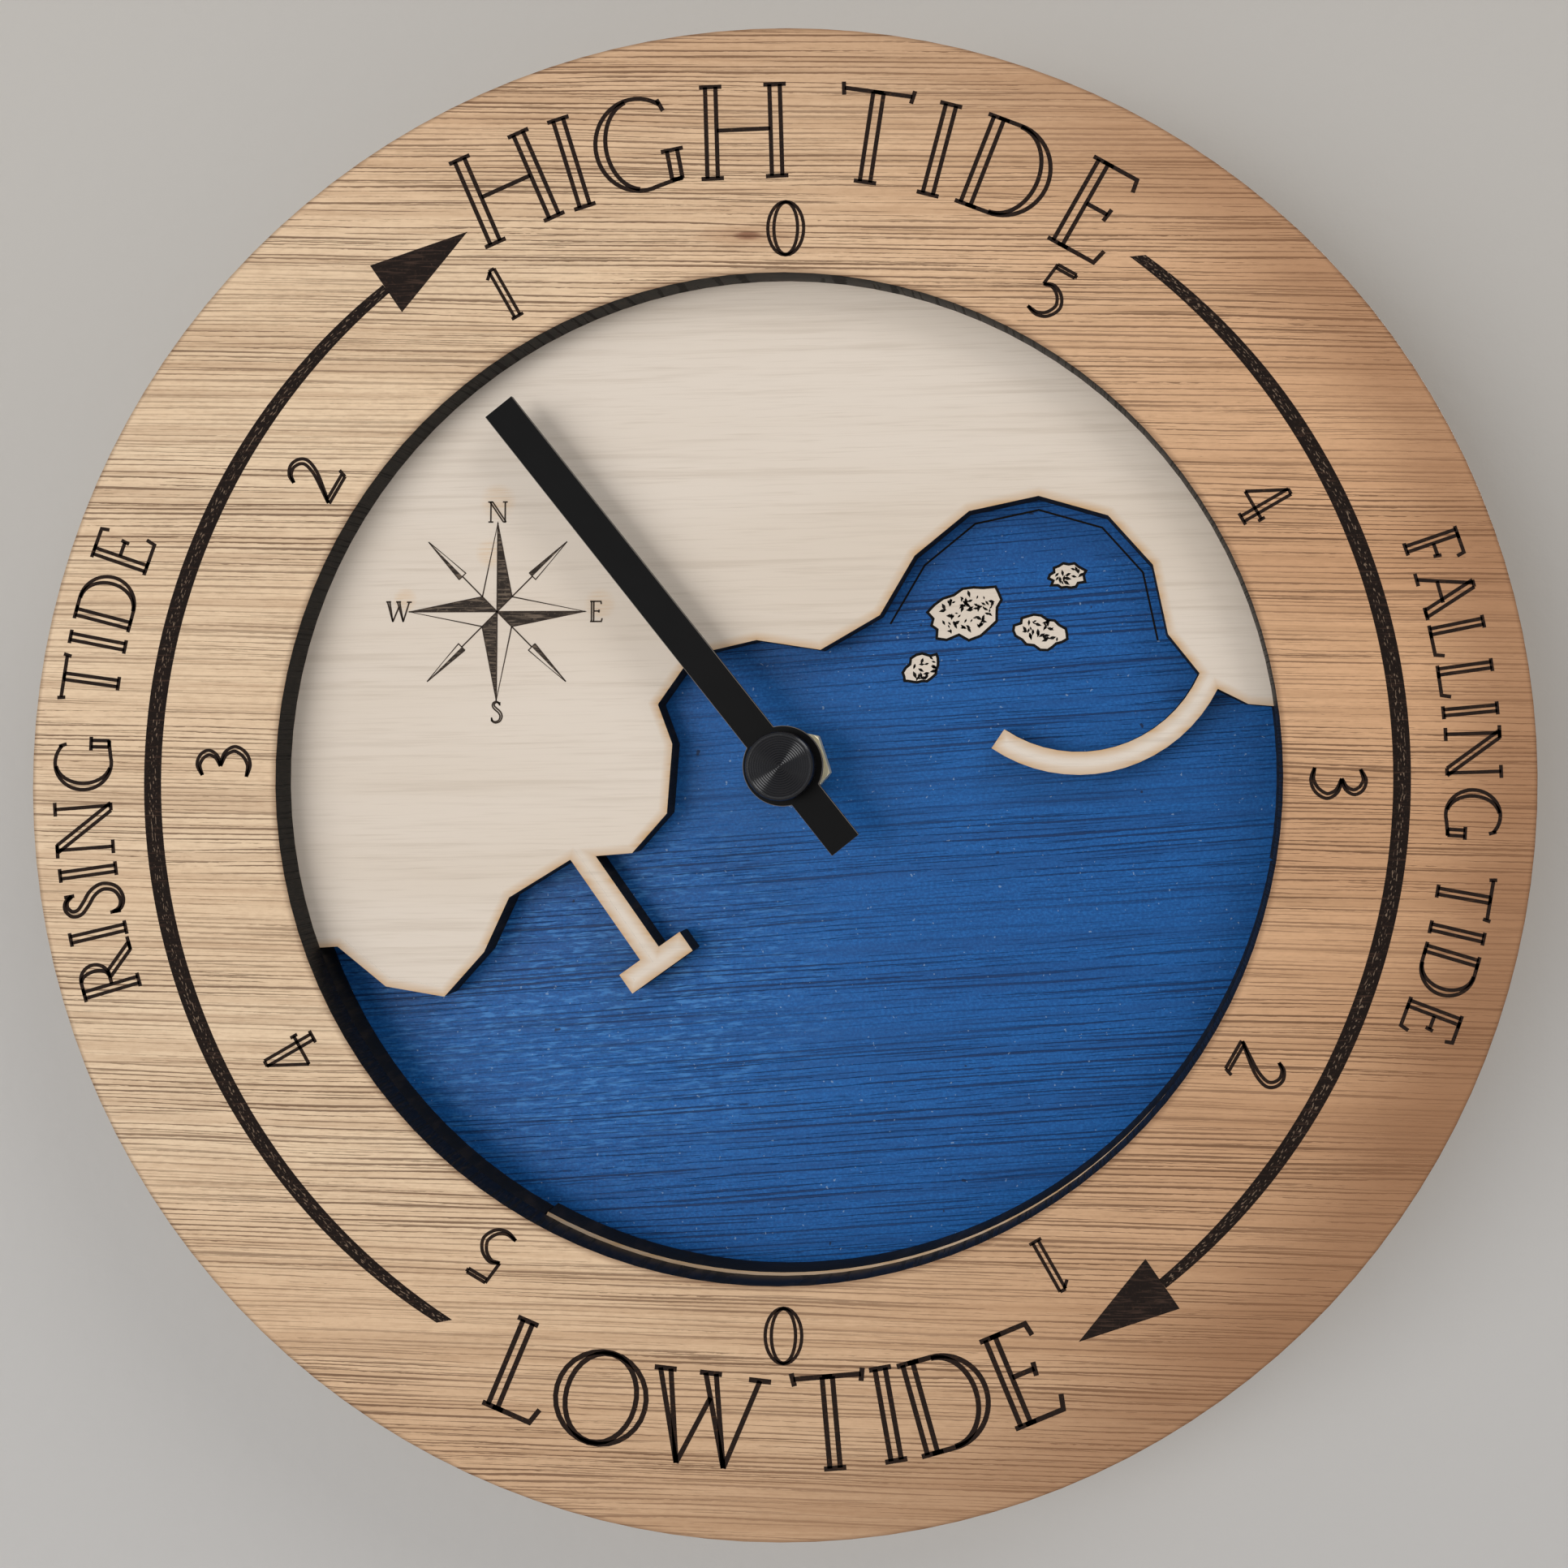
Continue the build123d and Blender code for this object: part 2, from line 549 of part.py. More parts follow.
def rotor_magnet():
    ring = Circle(MAGNET_RADIUS) - Circle(PIVOT_RADIUS + PRESS_CLEARANCE)
    return layer(Pos(*ROTOR_AT) * ring, MAGNET_BACK, MAGNET_BACK + MAGNET_LENGTH)


def coil_seats():
    """The two places where the coil's core lies on the stator's arms."""
    z = ROTOR_AT[1] + COIL_RISE
    return [(ROTOR_AT[0] - COIL_SPAN / 2, z), (ROTOR_AT[0] + COIL_SPAN / 2, z)]


STATOR_BACK = WALL + STATOR_STAND
CORE_BACK = STATOR_BACK + STATOR_THICKNESS
COIL_DEPTH = CORE_BACK + CORE_HEIGHT / 2


def stator_plate():
    """A steel plate around the magnet, with one arm to each end of the coil's core."""
    hole_radius = MAGNET_RADIUS + MAGNET_GAP
    plate = Pos(*ROTOR_AT) * Circle(hole_radius + STATOR_RIM)
    for seat in coil_seats():
        knee = (seat[0], ROTOR_AT[1] + ARM_KNEE_RISE)
        tip = (seat[0], seat[1] + CORE_WIDTH / 2)
        plate += trace(Polyline(ROTOR_AT, knee, tip), STATOR_ARM)
    plate -= Pos(*ROTOR_AT) * Circle(hole_radius)
    return layer(plate, STATOR_BACK, CORE_BACK)


def coil_core():
    left, right = coil_seats()
    length = COIL_SPAN + 2 * CORE_OVERHANG
    bar = Pos((left[0] + right[0]) / 2, left[1]) * Rectangle(length, CORE_WIDTH)
    return layer(bar, CORE_BACK, CORE_BACK + CORE_HEIGHT)


def coil_block(side, length, x_mid):
    """A square block along the coil's core."""
    z = coil_seats()[0][1]
    block = Pos(x_mid, z) * Rectangle(length, side)
    return layer(block, COIL_DEPTH - side / 2, COIL_DEPTH + side / 2)


def coil_bobbin():
    body = coil_block(BOBBIN_TUBE, BOBBIN_LENGTH, ROTOR_AT[0])
    for side in (-1, 1):
        flange_x = ROTOR_AT[0] + side * (BOBBIN_LENGTH - BOBBIN_FLANGE) / 2
        body += coil_block(BOBBIN_SIDE, BOBBIN_FLANGE, flange_x)
    slot = Pos(ROTOR_AT[0], coil_seats()[0][1]) * Rectangle(BOBBIN_LENGTH, CORE_WIDTH + 2 * PRESS_CLEARANCE)
    return body - layer(slot, CORE_BACK - PRESS_CLEARANCE, CORE_BACK + CORE_HEIGHT + PRESS_CLEARANCE)


def coil_winding():
    length = BOBBIN_LENGTH - 2 * BOBBIN_FLANGE - 2 * PRESS_CLEARANCE
    body = coil_block(WINDING_SIDE, length, ROTOR_AT[0])
    body = fillet(body.edges().filter_by(Axis.X), WINDING_CORNER)
    return body - coil_block(BOBBIN_TUBE + 2 * PRESS_CLEARANCE, length, ROTOR_AT[0])


BOARD_BACK = WALL + BOARD_STAND
BOARD_FRONT = BOARD_BACK + BOARD_THICKNESS
BOARD_MID = (INSIDE_HALF - BOARD_MARGIN - BOARD_LENGTH / 2, PARTITION_TOP + BOARD_MARGIN + BOARD_WIDTH / 2)


def board_ends():
    """The two places where the board stands on the rear cover."""
    reach = BOARD_LENGTH / 2 - POST_SIDE
    return [(BOARD_MID[0] - reach, BOARD_MID[1]), (BOARD_MID[0] + reach, BOARD_MID[1])]


def circuit_board():
    return layer(Pos(*BOARD_MID) * Rectangle(BOARD_LENGTH, BOARD_WIDTH), BOARD_BACK, BOARD_FRONT)


def timing_chip():
    outline = Pos(*BOARD_MID) * Rectangle(CHIP_LENGTH, CHIP_WIDTH)
    return layer(outline, BOARD_FRONT, BOARD_FRONT + CHIP_HEIGHT)


def quartz_crystal():
    x_mid = BOARD_MID[0] + CHIP_LENGTH / 2 + CRYSTAL_RADIUS + CRYSTAL_LENGTH / 2
    return along_x(CRYSTAL_RADIUS, CRYSTAL_LENGTH, x_mid, BOARD_FRONT + CRYSTAL_RADIUS, BOARD_MID[1])


CELL_DEPTH = CELL_RADIUS + CELL_CLEARANCE
CELL_RIGHT = INSIDE_HALF - CONTACT_THICKNESS
CELL_LEFT = CELL_RIGHT - CELL_LENGTH


def battery_cell():
    length = CELL_LENGTH - CELL_NUB_LENGTH
    body = along_x(CELL_RADIUS, length, CELL_LEFT + length / 2, CELL_DEPTH, CELL_Z)
    nub_middle = CELL_RIGHT - CELL_NUB_LENGTH / 2
    return body + along_x(CELL_NUB_RADIUS, CELL_NUB_LENGTH, nub_middle, CELL_DEPTH, CELL_Z)


def contact_strip(path):
    """A strip of sheet metal on edge, whose middle line is seen from below."""
    strip = trace(path, CONTACT_THICKNESS)
    return extrude(Plane.XY.offset(CELL_Z) * strip, amount=CONTACT_WIDTH / 2, both=True)


def positive_contact():
    x = INSIDE_HALF - CONTACT_THICKNESS / 2
    return contact_strip(Line((x, -CONTACT_MARGIN), (x, CONTACT_MARGIN - FRONT_INSIDE)))


def negative_contact():
    """A strip along the bay's end with a tongue bent out to the cell."""
    x = CONTACT_THICKNESS / 2 - INSIDE_HALF
    touch_x = CELL_LEFT - CONTACT_THICKNESS
    path = Polyline(
        (x, -CONTACT_MARGIN), (x, CONTACT_MARGIN - FRONT_INSIDE), (touch_x, -CELL_DEPTH),
    )
    return contact_strip(path)


def setting_knob():
    """The knob that sets the hand, its stem and the pinion in mesh with the hand wheel."""
    back = KNOB_SINK
    front = KNOB_SINK + KNOB_HEIGHT
    grip = []
    for flute in range(KNOB_FLUTES):
        grip.append(step_from(KNOB_AT, flute * 360 / KNOB_FLUTES, KNOB_RADIUS))
        grip.append(step_from(KNOB_AT, (flute + 1 / 2) * 360 / KNOB_FLUTES, KNOB_RADIUS - KNOB_FLUTE_DEPTH))
    knob = layer(make_face(Polyline(*grip, close=True)), back, front)
    tooth_pitch = 360 / HAND_TEETH
    lead = (CLUTCH_DIRECTION - KNOB_DIRECTION) % tooth_pitch
    turn = gap_turn(KNOB_TEETH, KNOB_DIRECTION) - lead * HAND_TEETH / KNOB_TEETH
    profile = toothed(KNOB_TEETH, HAND_MODULE, turn, KNOB_AT)
    pinion = pinion_blank(profile, HAND_LEVEL - PINION_OVERLAP, HAND_LEVEL)
    stem = disc(KNOB_STEM_RADIUS, front, HAND_LEVEL, KNOB_AT)
    pivot = disc(PIVOT_RADIUS, HAND_LEVEL, FRONT_INSIDE + PIVOT_DEPTH - END_PLAY, KNOB_AT)
    return knob + pinion + stem + pivot


PIECES = (
    bezel_ring, land_panel, rim_spacer, sea_panel, tide_hand, hand_bush, hand_cap, brass_nut,
    brass_washer, rubber_washer, threaded_bush, hanger_plate, front_housing, rear_cover,
    hand_wheel, clutch_pinion, clutch_spring, clutch_wheel, third_wheel, second_wheel,
    first_wheel, rotor_pinion, rotor_magnet, stator_plate, coil_core, coil_bobbin,
    coil_winding, circuit_board, timing_chip, quartz_crystal, battery_cell,
    positive_contact, negative_contact, setting_knob,
)

os.makedirs("parts", exist_ok=True)
for piece in PIECES:
    export_step(Pos(0, 0, -HANGER_DROP) * piece(), f"parts/{piece.__name__}.step")
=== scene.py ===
import math
import random

import bmesh
import bpy
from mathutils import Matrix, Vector


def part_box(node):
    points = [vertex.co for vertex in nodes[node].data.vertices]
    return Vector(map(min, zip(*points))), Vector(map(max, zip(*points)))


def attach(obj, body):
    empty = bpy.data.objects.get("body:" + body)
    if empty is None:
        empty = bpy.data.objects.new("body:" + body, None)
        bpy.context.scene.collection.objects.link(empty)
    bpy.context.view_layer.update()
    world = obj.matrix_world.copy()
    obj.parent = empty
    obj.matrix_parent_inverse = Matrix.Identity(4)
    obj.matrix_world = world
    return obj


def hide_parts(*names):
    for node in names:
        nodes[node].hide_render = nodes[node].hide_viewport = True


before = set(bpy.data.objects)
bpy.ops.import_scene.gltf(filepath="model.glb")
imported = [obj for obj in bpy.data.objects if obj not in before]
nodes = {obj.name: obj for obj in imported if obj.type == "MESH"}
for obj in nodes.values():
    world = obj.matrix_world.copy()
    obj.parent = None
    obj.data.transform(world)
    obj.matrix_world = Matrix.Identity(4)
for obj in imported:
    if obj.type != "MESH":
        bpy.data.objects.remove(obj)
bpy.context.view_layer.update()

MM = 0.001
WELD_DISTANCE = MM / 1000

# Places taken from the solid model, in metres
ring_low, ring_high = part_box("bezel_ring")
DIAL_X = (ring_low.x + ring_high.x) / 2
DIAL_Z = (ring_low.z + ring_high.z) / 2
RING_FACE = ring_low.y
LAND_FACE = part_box("land_panel")[0].y
SEA_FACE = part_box("sea_panel")[0].y
REAR_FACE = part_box("rear_cover")[1].y
cap_low, cap_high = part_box("hand_cap")
HAND_X = (cap_low.x + cap_high.x) / 2
HAND_Z = (cap_low.z + cap_high.z) / 2

# Burnt lines on the dial, in millimetres
DIAL_RADIUS = 150.0
OPENING_RADIUS = 100.4
INK_HEIGHT = 0.04
INK_SINK = 0.02

# Words: feet's radius, height, clockwise angles from the top, feet outside or not, line, centre's shift
WORDS = (
    ("HIGH", 120.2, 18.6, (-28.2, 2.4), False, 0.85, (-2.5, -0.4)),
    ("TIDE", 119.8, 18.6, (4.8, 32.4), False, 0.85, (0, 0)),
    ("LOW", 136.0, 18.0, (205.0, 181.1), True, 1.0, (0, 0)),
    ("TIDE", 136.0, 18.0, (177.8, 154.7), True, 1.0, (0, 0)),
    ("RISING TIDE", 134.0, 11.4, (251.5, 290.4), False, 0.72, (0, 0)),
    ("FALLING TIDE", 132.3, 10.5, (69.8, 111.9), False, 0.72, (0, 0)),
)

# Numerals, in millimetres and degrees, with each one's shift from its even place
NUMERAL_RADIUS = 105.2
NUMERAL_HEIGHT = 10.8
NUMERAL_SEQUENCE = "054321"
NUMERAL_STEP = 30
NUMERAL_LINE = 0.66
NUMERAL_SHIFTS = (
    (1.7, -1.3), (0.0, 0.0), (0.9, -1.1), (0.6, -1.7), (-0.6, -2.0), (-0.7, 0.0),
    (2.3, 0.6), (-0.7, 1.2), (-0.5, -0.6), (-0.4, 2.6), (2.4, 4.4), (0.0, 0.8),
)

# Bands with arrows: each circle's radius and centre in millimetres, angles of tail, head and point
RISING_CIRCLE = (126.5, 1.05, 0.0)
FALLING_CIRCLE = (128.4, -4.8, 0.25)
BANDS = (
    ("rising", RISING_CIRCLE, 212.0, 320.6, 329.7),
    ("falling", FALLING_CIRCLE, 37.3, 140.7, 149.6),
)
BAND_WIDTH = 3.45
BAND_TAPER = 1.35
TAPER_POWER = 3
BAND_SLANT = -1.05
SLANT_POWER = 24
BAND_STEPS = 72
ARROW_WIDTH = 11.6

# Letter forms, in shares of a letter's height
STEM_WEIGHT = 0.113
SLOPE_HALF = 0.6 * STEM_WEIGHT
SERIF = 0.065
OVAL_THINNING = 0.012
WORD_SPACE = 0.28
OVAL_STEPS = 28
CURVE_STEPS = 6

# Compass rose on the land, in millimetres
ROSE_CENTRE = (-58.3, 33.0)
ROSE_POINT = 18.2
ROSE_WAIST = 4.3
ROSE_ARROW_BASE = 10.2
ROSE_ARROW_TIP = 20.2
ROSE_ARROW_HALF = 0.95
ROSE_LETTER_RADIUS = 20.4
ROSE_LETTER_HEIGHT = 4.1
ROSE_LETTER_LINE = 0.3
ROSE_LINE = 0.26
ROSE_ARROW_LINE = 0.8 * ROSE_LINE
ROSE_LINE_HEIGHT = 1.4 * INK_HEIGHT
TOASTED = (((-58.3, 55.5), 4.2), ((-37.1, 34.5), 3.6), ((-59.8, 45.0), 3.4), ((-77.3, 35.5), 2.8))

# Islets in the bay: centre, half width and half height in millimetres, and lean in radians
ISLETS = (
    (37.0, 33.0, 8.6, 5.2, 0.35), (52.5, 29.0, 5.4, 3.4, -0.25),
    (28.0, 21.5, 4.4, 2.9, 0.6), (58.0, 40.5, 3.9, 2.6, 0.1),
)
ISLET_CORNERS = 22
ISLET_EDGE = (0.78, 1.08)
ISLET_LINE = 0.55
ISLET_SEED = 11
ISLET_MARK_HEIGHT = 1.6 * INK_HEIGHT

# Blotches on the islets: number to the square millimetre, sizes, share of the islet, corners
BLOTCH_DENSITY = 1.5
BLOTCH_SIZE = (0.25, 0.6)
BLOTCH_SPREAD = 0.72
BLOTCH_TURNS = (0, 0.9, 1.8, 3.1, 4.2, 5.2)
BLOTCH_REACHES = (1.5, 0.7, 0.6, 1.4, 0.55, 0.7)

# Line scored beside the bay's shore, in millimetres
BAY_LEFT = 14.0
BAY_LOW = 24.0
BAY_REACH = 92.0
SHORE_OFFSET = 1.9
SHORE_LINE = 0.4

# Burnt margins: node, width in millimetres and strength at the inner side
MARGINS = {"land_margin": ("land_panel", 1.9, 0.0), "rim_margin": ("rim_spacer", 1.6, 0.35)}
MARGIN_HEIGHT = 0.5 * INK_HEIGHT
FRONT_NORMAL = -0.99

# Marks on the rear cover, in millimetres and degrees
SIGN_HEIGHT = 0.12
SIGN_REACH = 1.8
SIGN_LINE = 0.6
SIGN_INSET = 0.12
SIGN_RISE = 3.4
ARROW_CLEARANCE = 2.4
ARROW_START = -60
ARROW_END = 50
ARROW_STEPS = 24
ARROW_HEAD_HALF = 1.3
ARROW_HEAD_TURN = 18

# Turned cap, in millimetres
CAP_CHAMFER = 0.5
CAP_CHAMFER_MIDDLE = (0.15, 0.2)
CAP_BACK_BREAK = 0.2
CAP_BORDER = 0.75
CAP_GROOVES = 13
CAP_GROOVE_DEPTH = 0.17
CAP_DISH = 0.25
CAP_MIDDLE_DEPTH = 0.3
LATHE_STEPS = 96

# Broken edges of the solid pieces, in millimetres and degrees
LAYER_BREAK = 0.2
HAND_BREAK = 0.12
HOUSING_BREAK = 0.5
BEVEL_ANGLE = 40
SHARP_ANGLE = 25

# Stage, in metres
WALL_Y = 0.6 * MM
STAGE_REACH = 1.6
FLOOR_Z = DIAL_Z - 0.42

# Lamps: place right of, behind and above the dial's face and diameter, in metres, and power in watts
LAMPS = {
    "key": ((-1.62, -2.0, -0.5), 2.4, 58),
    "fill": ((1.2, -1.2, 1.5), 1.0, 11),
    "rear_fill": ((0.9, 1.8, 0.9), 1.3, 30),
}
SKY = (0.95, 0.97, 1.0, 1)
SKY_STRENGTH = 0.47

# Camera: place from the middle of the ring's face in millimetres, turn in degrees, lens in millimetres
CAMERA_RIGHT = 60.0
CAMERA_ABOVE = 7.06
CAMERA_DISTANCE = 295.0
CAMERA_YAW = 1.625
CAMERA_PITCH = 1.635
CAMERA_LENS = 34.307
CAMERA_SENSOR = 36
CAMERA_SHIFT = (-0.16, -0.056)
CAMERA_NEAR = 10


# Node graphs

class Graph:
    """A material's node tree, with short names for the nodes used here and the tilt of its grain."""

    def __init__(self, name, tilt=0.0):
        self.material = bpy.data.materials.new(name)
        self.material.use_nodes = True
        self.tree = self.material.node_tree
        self.shader = self.tree.nodes["Principled BSDF"]
        self.tilt = tilt

    def node(self, kind, **settings):
        made = self.tree.nodes.new(kind)
        for key, value in settings.items():
            setattr(made, key, value)
        return made

    def feed(self, socket, value):
        if isinstance(value, bpy.types.NodeSocket):
            self.tree.links.new(value, socket)
        elif isinstance(value, tuple) and len(value) == 3 and socket.type == "RGBA":
            socket.default_value = (*value, 1)
        else:
            socket.default_value = value

    def place(self, scale, shift=0.0, tilt=0.0):
        """Object coordinates, tilted in the dial's plane and scaled to features per metre."""
        turn = self.node("ShaderNodeVectorRotate", rotation_type="Y_AXIS")
        self.feed(turn.inputs["Vector"], self.node("ShaderNodeTexCoord").outputs["Object"])
        turn.inputs["Angle"].default_value = math.radians(tilt)
        mapping = self.node("ShaderNodeMapping")
        self.feed(mapping.inputs["Vector"], turn.outputs["Vector"])
        mapping.inputs["Scale"].default_value = scale if isinstance(scale, tuple) else (scale, scale, scale)
        mapping.inputs["Location"].default_value = (shift, shift, shift)
        return mapping.outputs["Vector"]

    def noise(self, vector, detail, roughness, distortion=0.0):
        made = self.node("ShaderNodeTexNoise")
        self.feed(made.inputs["Vector"], vector)
        settings = {"Scale": 1.0, "Detail": detail, "Roughness": roughness, "Distortion": distortion}
        for key, value in settings.items():
            made.inputs[key].default_value = value
        return made.outputs["Fac"]

    def speckle(self, scale, detail, roughness, shift=0.0):
        """Noise that lies level."""
        return self.noise(self.place(scale, shift), detail, roughness)

    def grain(self, scale, detail, roughness, shift=0.0, distortion=0.0):
        """Noise that lies along the grain."""
        return self.noise(self.place(scale, shift, self.tilt), detail, roughness, distortion)

    def mottle(self, scale=160):
        """Soft patches."""
        return self.speckle(scale, 3, 0.6)

    def steps(self, value, low, high):
        """Zero below low, one above high, smooth between them."""
        made = self.node("ShaderNodeMapRange", interpolation_type="SMOOTHSTEP")
        self.feed(made.inputs["Value"], value)
        made.inputs["From Min"].default_value = low
        made.inputs["From Max"].default_value = high
        return made.outputs["Result"]

    def calc(self, operation, first, second=0.0):
        made = self.node("ShaderNodeMath", operation=operation)
        self.feed(made.inputs[0], first)
        self.feed(made.inputs[1], second)
        return made.outputs[0]

    def times(self, first, second):
        return self.calc("MULTIPLY", first, second)

    def mix(self, share, first, second):
        made = self.node("ShaderNodeMix", data_type="RGBA")
        self.feed(made.inputs[0], share)
        self.feed(made.inputs[6], first)
        self.feed(made.inputs[7], second)
        return made.outputs[2]

    def over(self, colour, mask, share, other):
        """Another colour laid over a colour, up to a share where the mask is one."""
        return self.mix(self.times(mask, share), colour, other)

    def blend(self, share, first, second):
        """A number between two numbers."""
        made = self.node("ShaderNodeMix", data_type="FLOAT")
        self.feed(made.inputs[0], share)
        self.feed(made.inputs[2], first)
        self.feed(made.inputs[3], second)
        return made.outputs[0]

    def axis(self, name, source="ShaderNodeTexCoord", output="Object"):
        """One component of the object coordinates or of the surface normal."""
        split = self.node("ShaderNodeSeparateXYZ")
        self.feed(split.inputs[0], self.node(source).outputs[output])
        return split.outputs[name]

    def facing(self):
        """The surface normal's component along the dial's axis: -1 in front, 1 behind."""
        return self.axis("Y", "ShaderNodeNewGeometry", "Normal")

    def edge_faces(self):
        """One on the cut edges of a flat piece, zero on its front and back."""
        flatness = self.calc("ABSOLUTE", self.facing())
        return self.calc("SUBTRACT", 1.0, self.steps(flatness, 0.55, 0.8))

    def square_sum(self, first, second):
        return self.calc("ADD", self.times(first, first), self.times(second, second))

    def from_axis(self, x, z):
        """How far a point lies right of and above an axis through the dial, in metres."""
        return self.calc("SUBTRACT", self.axis("X"), x), self.calc("SUBTRACT", self.axis("Z"), z)

    def distance(self, x, z):
        """The distance from an axis through the dial, in millimetres."""
        return self.times(self.calc("SQRT", self.square_sum(*self.from_axis(x, z))), 1 / MM)

    def dial_distance(self, right=0.0, above=0.0):
        """The distance from an axis beside the dial's, in millimetres."""
        return self.distance(DIAL_X + right * MM, DIAL_Z + above * MM)

    def around_dial(self, along, across):
        """Coordinates along a circle round the dial and across it, for features sized in millimetres."""
        right, up = self.from_axis(DIAL_X, DIAL_Z)
        turn = self.calc("ARCTAN2", right, up)
        made = self.node("ShaderNodeCombineXYZ")
        self.feed(made.inputs[0], self.times(turn, RISING_CIRCLE[0] / along))
        self.feed(made.inputs[1], self.times(self.dial_distance(), 1 / across))
        return made.outputs[0]

    def spot(self, place, wide, high):
        """One at a place of the dial, falling to zero at the edge of an ellipse. All are in millimetres."""
        right, up = self.from_axis(DIAL_X + place[0] * MM, DIAL_Z + place[1] * MM)
        right = self.times(right, 1 / (wide * MM))
        up = self.times(up, 1 / (high * MM))
        return self.steps(self.square_sum(right, up), 1.0, 0.05)

    def attribute(self, name):
        return self.node("ShaderNodeAttribute", attribute_name=name).outputs["Fac"]

    def finish(self, colour, roughness, height, relief, metallic=0.0, specular=0.5):
        """Colour, roughness and a bump whose full height is relief, in millimetres."""
        self.feed(self.shader.inputs["Base Color"], colour)
        self.feed(self.shader.inputs["Roughness"], roughness)
        self.feed(self.shader.inputs["Metallic"], metallic)
        self.shader.inputs["Specular IOR Level"].default_value = specular
        bump = self.node("ShaderNodeBump")
        bump.inputs["Distance"].default_value = relief * MM
        self.feed(bump.inputs["Height"], height)
        self.feed(self.shader.inputs["Normal"], bump.outputs["Normal"])
        return self.material


# Wood: tilts of the grain in degrees, places on the dial and sizes in millimetres

VENEER_TILT = -1.2
LAND_TILT = 1.0
SEA_TILT = 4.2
GRAIN_WAVER = 2.2
GRAIN_FRAY = 0.24
KNOT = (-5.9, 107.9)
KNOT_RIM = (13.0, 2.6)
KNOT_HEART = (3.6, 1.1)
# The next two set the place and reach of the painted sheen on the sea: lighter strokes that stand in for a
# highlight
PAINTED_SHEEN_PLACE = (-42, -42)
PAINTED_SHEEN_REACH = (62, 52)
CHAR = (0.006, 0.0055, 0.005)
CHAR_BROWN = (0.021, 0.015, 0.011)
SCORCH = (0.58, 0.34, 0.14)


def char_over(graph, colour, grain):
    """Burnt black on the laser-cut edges, over another colour."""
    burnt = graph.mix(graph.steps(grain, 0.45, 0.75), CHAR, CHAR_BROWN)
    return graph.mix(graph.edge_faces(), colour, burnt)


def per_metre(length, pitch):
    """The scale of noise whose features have a length and a pitch in millimetres."""
    return (1 / (length * MM), 1 / (length * MM), 1 / (pitch * MM))


def grain_lines(graph, length, pitch, edge, seed):
    """Thin broken rows along the grain, with tapered ends. Length and pitch are in millimetres."""
    waver = graph.grain((14, 14, 90), 1, 0.5, seed)
    fray = graph.grain((420, 420, 900), 2, 0.6, seed)
    split = graph.node("ShaderNodeSeparateXYZ")
    graph.feed(split.inputs[0], graph.place(1 / MM, tilt=graph.tilt))
    height = graph.calc("ADD", split.outputs["Z"], graph.times(waver, GRAIN_WAVER))
    height = graph.calc("ADD", height, graph.times(fray, GRAIN_FRAY))
    rows = graph.node("ShaderNodeTexVoronoi", voronoi_dimensions="1D", feature="DISTANCE_TO_EDGE")
    graph.feed(rows.inputs["W"], graph.calc("ADD", graph.times(height, 1 / pitch), seed))
    rows.inputs["Scale"].default_value = 1.0
    unevenness = graph.times(graph.calc("SUBTRACT", fray, 0.5), 0.2)
    strength = graph.calc("ADD", graph.grain(per_metre(length, pitch), 2, 0.5, seed), unevenness)
    beside = graph.times(rows.outputs["Distance"], 1.3)
    return graph.steps(graph.calc("SUBTRACT", strength, beside), edge, edge + 0.08)


def soft_streaks(graph, length, pitch, edge, seed):
    """Long soft marks along the grain. Length and pitch are in millimetres."""
    return graph.steps(graph.grain(per_metre(length, pitch), 1, 0.4, seed), edge, edge + 0.12)


def crowded_lines(graph, long, short, short_share, crowd, least):
    """Long and short lines together, fainter where the grain is open."""
    lines = graph.calc("MAXIMUM", long, graph.times(short, short_share))
    return graph.times(lines, graph.blend(graph.steps(crowd, 0.36, 0.6), least, 1.0))


